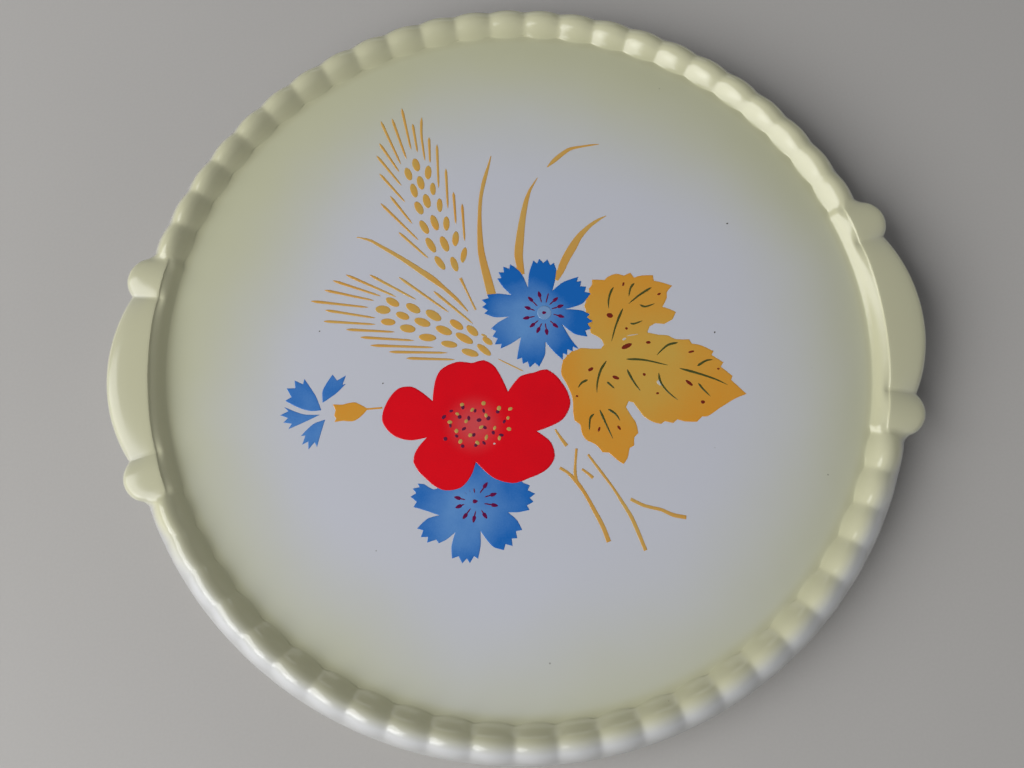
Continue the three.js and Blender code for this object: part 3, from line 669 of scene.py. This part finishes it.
def refine(outline, cornerDegrees, step):
    # Smooth runs between the corners, with a point every `step` mm.
    before = outline - np.roll(outline, 1, axis=0)
    after = np.roll(outline, -1, axis=0) - outline
    turn = np.degrees(np.abs(np.arctan2(before[:, 0] * after[:, 1] - before[:, 1] * after[:, 0],
                                        (before * after).sum(axis=1))))
    corners = np.flatnonzero(turn > cornerDegrees)
    if len(corners) == 0:
        return smoothPath(np.vstack([outline[-1:], outline, outline[:2]]), 4)[4:-5]
    refined = []
    for corner, nextCorner in zip(corners, np.append(corners[1:], corners[0] + len(outline))):
        run = outline[np.arange(corner, nextCorner + 1) % len(outline)]
        longest = np.linalg.norm(np.diff(run, axis=0), axis=1).max()
        refined.append(smoothPath(run, max(1, math.ceil(longest / step)))[:-1])
    return np.vstack(refined)


def distanceTo(points, outline):
    start = outline[None, :, :]
    along = np.roll(outline, -1, axis=0)[None, :, :] - start
    offset = points[:, None, :] - start
    share = np.clip((offset * along).sum(-1) / np.maximum((along ** 2).sum(-1), 1e-12), 0, 1)
    gaps = np.linalg.norm(offset - share[..., None] * along, axis=-1)
    return gaps.min(axis=1)


def tuckUnder(outline, neighbour, reach):
    # Moves the points that face a neighbour on under its edge.
    start = neighbour
    along = np.roll(neighbour, -1, axis=0) - start
    moved = outline.copy()
    for i, point in enumerate(outline):
        share = np.clip(((point - start) * along).sum(-1) / np.maximum((along ** 2).sum(-1), 1e-12), 0, 1)
        nearest = start + share[:, None] * along
        gaps = np.linalg.norm(nearest - point, axis=1)
        best = gaps.argmin()
        if gaps[best] < field["touching"]:
            direction = (nearest[best] - point) / gaps[best]
            moved[i] = point + direction * reach
    return moved


def paintField(name, node, finish, slot, layer=0.0, under=None, spacing=None, step=None):
    outline = refine(nodeOutline(node), field["cornerDegrees"], step or field["outlineStep"])
    if under is not None:
        outline = tuckUnder(outline, under, field["tuck"])
    spacing = spacing or field["spacing"]
    low, high = outline.min(axis=0), outline.max(axis=0)
    gridX = np.arange(low[0], high[0], spacing)
    gridY = np.arange(low[1], high[1], spacing * field["rowRatio"])
    inner = np.array([(x + (row % 2) * spacing / 2, y) for row, y in enumerate(gridY) for x in gridX])
    # a ring of points just inside the outline, where the edge is rounded
    tangent = np.roll(outline, -1, axis=0) - np.roll(outline, 1, axis=0)
    inward = np.column_stack([-tangent[:, 1], tangent[:, 0]])
    inward /= np.maximum(np.linalg.norm(inward, axis=1, keepdims=True), 1e-9)
    kept = []
    for share in field["edgeRings"]:
        inset = field["edgeRound"] * share
        ring = outline + inward * inset
        kept.append(ring[distanceTo(ring, outline) > field["ringClearance"] * inset])
    if len(inner):
        kept.append(inner[distanceTo(inner, outline) > field["clearance"] * spacing])
    points = np.vstack([outline] + kept)
    found = delaunay_2d_cdt([Vector(p) for p in points], [], [list(range(len(outline)))], 1, 1e-5)
    flat = np.array([tuple(v) for v in found[0]])
    faces = [tuple(face) for face in found[2]]
    depth = distanceTo(flat, outline)
    depth[depth < 1e-4] = 0
    lift = np.sqrt(1 - (1 - np.clip(depth / field["edgeRound"], 0, 1)) ** 2)
    top = wellHeight + lift * (field["thickness"] + layer) * mm
    count = len(flat)
    upper = np.column_stack([flat * mm, top])
    lower = np.column_stack([flat * mm, np.full(count, wellHeight - field["sink"] * mm)])
    upFaces = [face if signedArea(flat[list(face)]) > 0 else face[::-1] for face in faces]
    downFaces = [tuple(count + i for i in reversed(face)) for face in upFaces]
    used = dict.fromkeys(side for face in upFaces for side in zip(face, face[1:] + face[:1]))
    walls = [(a, a + count, b + count, b) for a, b in used if (b, a) not in used]
    piece = meshObject(name, np.vstack([upper, lower]), (), upFaces + downFaces + walls)
    edge = np.clip(1 - depth / field["edgeBand"], 0, 1) ** 1.5
    setAttribute(piece, "edge", np.concatenate([edge, edge]))
    removeLoose(piece)
    piece.data.shade_smooth()
    piece.data.materials.append(finishes[finish])
    settle(piece, slot, node)


def signedArea(corners):
    x, y = corners[:, 0], corners[:, 1]
    return 0.5 * (np.roll(y, -1) * x - np.roll(x, -1) * y).sum()


def removeLoose(piece):
    shell = bmesh.new()
    shell.from_mesh(piece.data)
    loose = [v for v in shell.verts if not v.link_faces]
    bmesh.ops.delete(shell, geom=loose, context="VERTS")
    shell.to_mesh(piece.data)
    shell.free()


poppyOutline = nodeOutline("poppy")
upperOutline = nodeOutline("cornflower_upper")
paintField("poppyField", "poppy", "red", "red_enamel", layer=field["poppyLayer"])
paintField("cornflowerUpper", "cornflower_upper", "upperBlue", "blue_enamel", layer=field["upperLayer"])
paintField("cornflowerLower", "cornflower_lower", "lowerBlue", "blue_enamel", under=poppyOutline)
for number in range(1, 5):
    paintField(f"budPetal{number}", f"bud_petal_{number}", "budBlue", "blue_enamel")
paintField("budCalyx", "bud_calyx", "leafOchre", "ochre_enamel")
paintField("vineLeaf", "vine_leaf", "leafOchre", "ochre_enamel", under=upperOutline)
for blade in ("left", "tall", "middle", "right", "loose"):
    paintField(f"grassBlade{blade.title()}", f"grass_blade_{blade}", "strokeOchre", "ochre_enamel",
               under=upperOutline, spacing=0.6)
for stem in ("wheat_stem", "stem_by_poppy", "stem_short", "stem_long", "stem_right", "stem_fork"):
    first, *others = stem.split("_")
    paintField(first + "".join(word.title() for word in others), stem, "strokeOchre", "ochre_enamel",
               spacing=0.5)
print("painted fields done")


# Dabs: grains, dots, spots and stamen heads, each a flat drop of paint

dabShape = {"Sides": 20, "Rings": 8, "Flattening": -0.05}


def makeDabTree():
    tree, get, put = openTree("dabs", "GeometryNodeTree", {
        "Geometry": ("Geometry", None), "Sides": ("Int", 20), "Rings": ("Int", 8),
        "Thickness": ("Float", 0.00015), "Point": ("Float", 0.0), "Flattening": ("Float", -0.05),
        "Material": ("Material", None),
    }, {"Geometry": "Geometry"})
    ball = addNode(tree, "GeometryNodeMeshUVSphere", {"Segments": get["Sides"], "Rings": get["Rings"],
                                                      "Radius": 0.5}).outputs["Mesh"]
    spot = addNode(tree, "GeometryNodeInputPosition").outputs[0]
    x, y, z = splitVector(tree, spot)
    # narrower towards +X by the Point input, so that a round dab becomes a drop
    share = calc(tree, "ADD", x, 0.5)
    narrow = calc(tree, "SUBTRACT", 1.0, calc(tree, "MULTIPLY", get["Point"], share))
    shaped = addNode(tree, "ShaderNodeCombineXYZ", {"X": x, "Y": calc(tree, "MULTIPLY", y, narrow),
                                                    "Z": calc(tree, "MAXIMUM", z, get["Flattening"])})
    drop = addNode(tree, "GeometryNodeSetPosition", {"Geometry": ball, "Position": shaped.outputs[0]})
    length, width, _ = splitVector(tree, readAttribute(tree, "dabSize", "FLOAT_VECTOR"))
    scale = addNode(tree, "ShaderNodeCombineXYZ", {
        "X": length, "Y": width, "Z": calc(tree, "MULTIPLY", get["Thickness"], 2.0)})
    turn = addNode(tree, "ShaderNodeCombineXYZ", {"Z": readAttribute(tree, "dabLean")})
    copies = addNode(tree, "GeometryNodeInstanceOnPoints", {
        "Points": get["Geometry"], "Instance": drop.outputs[0], "Rotation": turn.outputs[0],
        "Scale": scale.outputs[0]})
    real = addNode(tree, "GeometryNodeRealizeInstances", {"Geometry": copies.outputs[0]})
    return finishTree(tree, real.outputs[0], get, put)


dabTree = makeDabTree()


def paintDabs(name, dabs, finish, slot, thickness, nodes=(), point=0.0, lift=0.0):
    # each dab is x, y, length, width in mm and its lean in degrees
    dabs = np.array(dabs, float)
    centres = np.column_stack([dabs[:, :2] * mm, np.full(len(dabs), wellHeight + lift * mm)])
    piece = meshObject(name, centres)
    setAttribute(piece, "dabSize", np.column_stack([dabs[:, 2:4] * mm, np.zeros(len(dabs))]), "FLOAT_VECTOR")
    setAttribute(piece, "dabLean", np.radians(dabs[:, 4]))
    growWith(piece, dabTree, finishes[finish], {**dabShape, "Thickness": thickness * mm, "Point": point})
    faceOutwards(piece)
    settle(piece, slot, *nodes)


def grainOf(node):
    # centre, length, width and lean of one grain of the ear
    outline = nodeOutline(node)
    centre = outline.mean(axis=0)
    arms = outline - centre
    far = arms[np.linalg.norm(arms, axis=1).argmax()]
    lean = math.atan2(far[1], far[0])
    across = np.abs(arms @ np.array([-math.sin(lean), math.cos(lean)])).max()
    return (*centre, 2.2 * np.linalg.norm(far), 2.35 * across, math.degrees(lean))


for ear in ("upper", "left"):
    nodes = sorted(n for n in frame["nodes"] if n.startswith(f"{ear}_ear_grain"))
    paintDabs(f"{ear}EarGrains", [grainOf(n) for n in nodes], "grainOchre", "ochre_enamel",
              field["thickness"], nodes)

fieldTop = field["thickness"]
poppyTop = fieldTop + field["poppyLayer"]
upperTop = fieldTop + field["upperLayer"]

poppyDots = {
    "yellow": [(-16.3, -21.9), (-10.5, -24.4), (-6.1, -25), (-20.9, -24.1), (-26.8, -25.2), (-15.7, -26.8),
               (-29.9, -28.2), (-23.6, -28.4), (-7.3, -28.5), (-27.6, -31.9), (-17.9, -31.2), (-12.8, -32),
               (-7.3, -32.9), (-22.4, -34), (-16.3, -35.4), (-26.4, -36.1), (-11.3, -36.1), (-19.9, -37.2),
               (-24.7, -21.7)],
    "dark": [(-24.5, -22.7), (-19.8, -24.6), (-29.1, -23.9), (-32.1, -26), (-26, -26.5), (-22.5, -27.3),
             (-16.5, -24.9), (-11.1, -25.7), (-14.9, -28), (-18.6, -28.4), (-29.8, -29.5), (-8.9, -29.8),
             (-24.7, -31.3), (-16.6, -31.5), (-27.7, -33.9), (-21.1, -34), (-13.5, -33.8), (-10.5, -35),
             (-32.1, -34.6), (-25.7, -38), (-20.5, -38), (-17.4, -37.5)],
}


def scatterSizes(places, length, width, seed):
    # sizes and leans that differ a little from dot to dot
    luck = np.random.default_rng(seed)
    return [(x, y, length * luck.uniform(0.75, 1.2), width * luck.uniform(0.75, 1.2), luck.uniform(0, 180))
            for x, y in places]


paintDabs("poppyDotsDark", scatterSizes(poppyDots["dark"], 1.7, 1.3, 5), "darkDot", "red_enamel",
          0.05, lift=poppyTop)
paintDabs("poppyDotsYellow", scatterSizes(poppyDots["yellow"], 1.9, 1.4, 8), "yellowDot", "ochre_enamel",
          0.08, lift=poppyTop)

leafSpots = {
    "strong": [(44, 22.3, 1.8, 0.8, 65), (57.9, 16.9, 1.6, 0.9, 20), (37, 9.6, 2.6, 2.0, -20),
               (42.2, -3.7, 4.6, 1.8, 20), (26.9, -11.9, 2.4, 1.3, 25), (36.4, -16.1, 2.8, 1.4, -25),
               (64.9, -20.7, 3.4, 1.3, -45), (69.2, -28.8, 1.7, 1.4, 0), (67.5, -8.2, 2.4, 0.9, 10),
               (27.5, -36, 2, 0.9, 65)],
    "faint": [(43, 3.6, 1.1, 1.1, 0), (51, -2.9, 1.9, 1.2, 0), (47.7, -15.8, 1.2, 1.2, 0),
              (35.3, -36.1, 2, 1, -60), (77.2, -16, 1.0, 0.8, 0), (20.4, -22.2, 1.0, 0.8, 0),
              (52, -23.8, 1.2, 0.9, 0)],
}
paintDabs("leafSpots", leafSpots["strong"], "spotRed", "red_enamel", 0.05, lift=fieldTop)
paintDabs("leafSpotsFaint", leafSpots["faint"], "spotRed", "red_enamel", 0.02, lift=fieldTop)
paintDabs("leafNicks", [(41.6, -0.7, 1.7, 0.9, 20), (45.1, 0.7, 4.6, 0.35, 4), (53.2, -19.7, 2.4, 1.5, -55)],
          "bareGlaze", "cream_glaze", 0.02, lift=fieldTop)
paintDabs("poppyNick", [(-13.4, -38.1, 0.9, 0.7, 0)], "bareGlaze", "cream_glaze", 0.03, lift=poppyTop)
paintDabs("strayMark", [(-13.9, 5.6, 2.6, 1.0, -30)], "strokeOchre", "ochre_enamel", 0.06)
paintDabs("glazePits", [(90, 45, 0.8, 0.6, 0), (-55, -10.5, 0.7, 0.5, 30), (78, -1, 0.8, 0.6, 60),
                        (-79, 13, 0.6, 0.5, 0)], "pit", "cream_glaze", 0.02)
paintDabs("cornflowerHeart", [(10.9, 13.0, 5.8, 5.8, 0)], "paleBlue", "blue_enamel", 0.015, lift=upperTop)
print("dabs done")


# Brush strokes: awns, veins and stamens, each a line of paint that narrows at its ends

strokeShape = {"Step": 0.0006, "Sides": 8, "Thinnest": 0.12, "Flattening": -0.05}


def makeStrokeTree():
    tree, get, put = openTree("strokes", "GeometryNodeTree", {
        "Geometry": ("Geometry", None), "Step": ("Float", 0.0005), "Thickness": ("Float", 0.00015),
        "Base Height": ("Float", 0.0155), "Tip": ("Float", 0.12), "Sides": ("Int", 8),
        "Thinnest": ("Float", 0.12), "Flattening": ("Float", -0.05),
        "Material": ("Material", None),
    }, {"Geometry": "Geometry"})
    lines = addNode(tree, "GeometryNodeMeshToCurve", {"Mesh": get["Geometry"]}).outputs[0]
    curved = addNode(tree, "GeometryNodeCurveSplineType", {"Curve": lines}, spline_type="CATMULL_ROM")
    even = addNode(tree, "GeometryNodeResampleCurve", {"Curve": curved.outputs[0], "Length": get["Step"]},
                   mode="LENGTH")
    share = addNode(tree, "GeometryNodeSplineParameter").outputs["Factor"]
    toEnd = calc(tree, "MINIMUM", share, calc(tree, "SUBTRACT", 1.0, share))
    tip = addNode(tree, "ShaderNodeClamp", {"Value": calc(tree, "DIVIDE", toEnd, get["Tip"])}).outputs[0]
    taper = calc(tree, "MAXIMUM", calc(tree, "SQRT", tip), get["Thinnest"])
    half = calc(tree, "MULTIPLY", calc(tree, "MULTIPLY", readAttribute(tree, "strokeWidth"), 0.5), taper)
    noted = addNode(tree, "GeometryNodeStoreNamedAttribute", {
        "Geometry": even.outputs[0], "Name": "halfWidth", "Value": half}, data_type="FLOAT", domain="POINT")
    ring = addNode(tree, "GeometryNodeCurvePrimitiveCircle", {"Resolution": get["Sides"], "Radius": 1.0})
    ownHalf = readAttribute(tree, "halfWidth")
    tube = addNode(tree, "GeometryNodeCurveToMesh", {
        "Curve": noted.outputs[0], "Profile Curve": ring.outputs["Curve"],
        "Scale": ownHalf, "Fill Caps": True})
    # the round tube is pressed flat onto the well
    spot = addNode(tree, "GeometryNodeInputPosition").outputs[0]
    x, y, z = splitVector(tree, spot)
    rise = calc(tree, "DIVIDE", z, calc(tree, "MAXIMUM", ownHalf, 1e-6))
    flat = calc(tree, "ADD", get["Base Height"],
                calc(tree, "MULTIPLY", calc(tree, "MAXIMUM", rise, get["Flattening"]), get["Thickness"]))
    pressed = addNode(tree, "GeometryNodeSetPosition", {
        "Geometry": tube.outputs[0],
        "Position": addNode(tree, "ShaderNodeCombineXYZ", {"X": x, "Y": y, "Z": flat}).outputs[0]})
    real = addNode(tree, "GeometryNodeRealizeInstances", {"Geometry": pressed.outputs[0]})
    return finishTree(tree, real.outputs[0], get, put)


strokeTree = makeStrokeTree()


def paintStrokes(name, strokes, finish, slot, thickness, lift=0.0, tip=0.12):
    # each stroke is a list of x, y, width in mm
    points, widths, edges = [], [], []
    for stroke in strokes:
        for i, (x, y, width) in enumerate(stroke):
            if i:
                edges.append((len(points) - 1, len(points)))
            points.append((x * mm, y * mm, 0))
            widths.append(width * mm)
    piece = meshObject(name, points, edges)
    setAttribute(piece, "strokeWidth", widths)
    growWith(piece, strokeTree, finishes[finish], {
        **strokeShape, "Thickness": thickness * mm, "Base Height": wellHeight + lift * mm, "Tip": tip})
    faceOutwards(piece)
    settle(piece, slot)


def taperedLines(lines, outerWidth, innerWidth):
    # straight or bent lines that thin out from their first point to their last
    strokes = []
    for line in lines:
        last = len(line) - 1
        strokes.append([(x, y, outerWidth + (innerWidth - outerWidth) * i / last)
                        for i, (x, y) in enumerate(line)])
    return strokes


awns = {
    "upper": [[(-40.8, 109.2), (-38, 89.6)], [(-45.2, 104.7), (-40.2, 85.4)], [(-50, 103.9), (-42.7, 83.2)],
              [(-51.1, 93.5), (-43.6, 79.8)], [(-52.5, 87.9), (-43, 73.4)], [(-51.7, 79.5), (-41.9, 65.8)],
              [(-47.8, 68.9), (-39.6, 56)], [(-52, 66.1), (-37.4, 48.4)], [(-45.2, 52.6), (-34, 40.3)],
              [(-36.6, 101.4), (-35.4, 88.2)], [(-32.6, 104.2), (-33.2, 95.8), (-32.5, 84)],
              [(-30.1, 94.6), (-30.4, 82.9)], [(-27, 91), (-27.6, 71.1)], [(-24, 79.5), (-24.4, 61.6)],
              [(-21.6, 68.6), (-21.6, 54.3)], [(-18.4, 63), (-18.6, 46.5)]],
    "left": [[(-67.6, 36), (-47.9, 24.8)], [(-72.9, 33.9), (-54, 25.6)], [(-76.4, 30.1), (-56.9, 24)],
             [(-82, 25.9), (-59.3, 21.3)], [(-76.4, 21.6), (-56.7, 16.6)], [(-77.2, 17), (-56.7, 13.9)],
             [(-68.4, 12.8), (-49.2, 10.1)], [(-63, 9.1), (-41.7, 5.9)], [(-59.1, 5.4), (-34.3, 2.4)],
             [(-51.9, 2.1), (-28.9, -0.3)], [(-45.2, -1.1), (-26.3, -3.3)], [(-58, 35.1), (-40.1, 23)],
             [(-46.3, 33.1), (-27.3, 16.5)], [(-32.7, 25.9), (-18, 10.9)]],
    "outerWidth": 1.25,
    "innerWidth": 0.80,
}
for ear in ("upper", "left"):
    paintStrokes(f"{ear}EarAwns", taperedLines(awns[ear], awns["outerWidth"], awns["innerWidth"]),
                 "strokeOchre", "ochre_enamel", 0.10)
paintStrokes("stalkLine", [[(-9.3, -4.4, 0.4), (-5.0, -7.1, 0.55), (0.4, -10.4, 0.5)]],
             "strokeOchre", "ochre_enamel", 0.08)

veins = {
    "width": 0.90,
    "lines": [
        [(39.9, 21.4), (38.4, 19.2), (37.2, 15.8), (36.9, 12.5)], [(48.5, 22.4), (46.7, 20.4), (45.6, 16.9)],
        [(55.2, 20), (49.8, 17.1), (45.1, 13.8)], [(49.5, 13.1), (51.7, 12.1), (55.6, 13)],
        [(42.6, 12.1), (40.5, 8.4), (38.5, 4.2), (36.4, -1.3)], [(44.7, 5.7), (46.3, 5.3), (49.8, 6.3)],
        [(62.8, -4), (59.2, -4.4), (56.5, -6), (53.6, -8.5)], [(41.4, -9), (48.3, -9.9), (57.6, -12.9)],
        [(61.9, -14.5), (69, -17.2), (75.6, -20.2), (80, -22.9)], [(69, -14.2), (72.9, -12.3), (75.6, -12.2)],
        [(41.2, -13.1), (42.8, -17.5), (45.4, -22.4)],
        [(53.5, -15.6), (53.7, -19.2), (55.9, -23.3), (59.5, -27.2)],
        [(68.5, -21.1), (69.9, -23.5), (72.5, -26.8)],
        [(33.5, -9), (30.8, -12.6), (28.9, -17.5), (28.3, -21.6)], [(25.3, -16), (22.8, -17), (21.2, -18.9)],
        [(32.7, -17.5), (35.4, -20.4)], [(26.3, -29.8), (24.5, -31.5), (23.7, -36.1)],
        [(28.6, -28.4), (30, -32.8), (32.4, -40.2)], [(31.9, -28.4), (34.6, -30.6), (36, -33.4)],
    ],
}
veinStrokes = [[(x, y, veins["width"] * (1.25 - 0.75 * i / (len(line) - 1))) for i, (x, y) in enumerate(line)]
               for line in veins["lines"]]
paintStrokes("leafVeins", veinStrokes, "green", "ochre_enamel", 0.05, lift=fieldTop, tip=0.2)

# Stamens as head x, y and the inner end of the line x, y
stamens = {
    "upper": {
        "heart": (10.9, 13.0), "heartSize": 1.8, "top": upperTop,
        "heads": [(9.7, 20.9, 10.25, 17.3), (5.9, 19.2, 8.5, 15.9), (4.4, 15.6, 7.3, 14.2),
                  (3.5, 11.4, 7.0, 11.8), (5.6, 8.1, 8.3, 10.0), (7.8, 5.9, 9.6, 8.8),
                  (11.1, 4.8, 10.9, 8.6), (14.9, 7.2, 12.8, 9.5), (17.5, 10.9, 14.4, 12.1),
                  (17.7, 15.2, 13.9, 14.3), (16.0, 18.2, 13.2, 16.1)],
        "bare": [(13.4, 21.1, 12.0, 17.0)]},
    "lower": {
        "heart": (-22.5, -59.5), "heartSize": 2.0, "top": fieldTop,
        "heads": [(-18.1, -53.7, -20.5, -56.6), (-15.4, -57.5, -18.9, -58.2), (-15.3, -61.6, -19.2, -60.6),
                  (-19.2, -65.2, -20.5, -62.9), (-23.5, -66.1, -22.6, -63.1), (-26.8, -64.7, -24.4, -62.0),
                  (-28.9, -60.9, -26.6, -60.2), (-29.1, -57.6, -26.2, -58.6)],
        "bare": [(-22.6, -54.4, -22.5, -56.4), (-24.4, -55.0, -24.1, -56.0), (-26.2, -55.7, -25.6, -56.4)]},
}


def paintStamens(flower, plan):
    heads, lines = [(*plan["heart"], plan["heartSize"], plan["heartSize"], 0)], []
    for x, y, innerX, innerY in plan["heads"]:
        lean = math.degrees(math.atan2(y - innerY, x - innerX))
        heads.append((x, y, 2.7, 1.9, lean))
        lines.append([(x, y, 0.55), (innerX, innerY, 0.5)])
    for x, y, innerX, innerY in plan["bare"]:
        lines.append([(x, y, 0.55), (innerX, innerY, 0.45)])
    paintDabs(f"{flower}StamenHeads", heads, "maroon", "red_enamel", 0.05, point=0.55, lift=plan["top"])
    paintStrokes(f"{flower}StamenLines", lines, "maroon", "red_enamel", 0.04, lift=plan["top"])


for flower, plan in stamens.items():
    paintStamens(flower, plan)
print("strokes done")


# Stage: camera, floor and light

stage = {
    "cameraPlace": (-0.0131, -0.0865, 0.3213),
    "cameraTurn": (13.22, -0.414, -5.06),
    "lens": 28.125,
    "floorColour": (0.50, 0.485, 0.465, 1),
    "floorShade": (0.45, 0.4365, 0.4185, 1),
    "floorSize": 6.0,
    "roomColour": (0.85, 0.90, 1.0, 1),
    "roomStrength": 0.055,
    # each light's place, size, power in watts, and whether the glaze mirrors it
    "lights": {
        "highWindow": ((-1.48, -0.50, 1.12), (2.3, 1.40), 44.5, True),
        "lowWindow": ((-1.00, -1.00, 0.50), (0.8, 0.7), 4.5, True),
        "sideFill": ((1.50, 0.20, 0.24), (2.0, 0.30), 9.0, False),
        "backFill": ((0.10, 1.90, 0.60), (1.4, 0.6), 3.0, True),
    },
}

camera = bpy.data.objects.new("camera", bpy.data.cameras.new("camera"))
camera.data.lens = stage["lens"]
camera.data.sensor_width = 36.0
camera.data.clip_start = 0.01
camera.location = stage["cameraPlace"]
camera.rotation_euler = [math.radians(turn) for turn in stage["cameraTurn"]]
bpy.context.scene.collection.objects.link(camera)
bpy.context.scene.camera = camera


def makeFloor():
    half = stage["floorSize"] / 2
    floor = meshObject("floor", [(-half, -half, 0), (half, -half, 0), (half, half, 0), (-half, half, 0)],
                       (), [(0, 1, 2, 3)])
    material, tree, shader = startMaterial("paleFloor", 0.75)
    tint = placeGroup(tree, "mottle", {
        "Light": stage["floorColour"], "Deep": stage["floorShade"],
        "Lean": 0.4, "Cloud Scale": 6.0, "Cloud": 0.5, "Grain Scale": 900.0, "Grain": 0.6})
    tree.links.new(tint["Colour"], shader.inputs["Base Color"])
    floor.data.materials.append(material)


def addSoftLight(name, place, size, power, mirrored):
    light = bpy.data.lights.new(name, "AREA")
    light.shape = "RECTANGLE"
    light.size, light.size_y = size
    light.energy = power
    lamp = bpy.data.objects.new(name, light)
    lamp.location = place
    lamp.visible_glossy = mirrored
    lamp.rotation_euler = (-Vector(place)).to_track_quat("-Z", "Y").to_euler()  # towards the plate
    bpy.context.scene.collection.objects.link(lamp)


makeFloor()
for name, settings in stage["lights"].items():
    addSoftLight(name, *settings)

world = bpy.data.worlds.new("softRoom")
world.use_nodes = True
world.node_tree.nodes["Background"].inputs["Color"].default_value = stage["roomColour"]
world.node_tree.nodes["Background"].inputs["Strength"].default_value = stage["roomStrength"]
bpy.context.scene.world = world
bpy.context.scene.view_settings.view_transform = "Standard"
print("stage set")
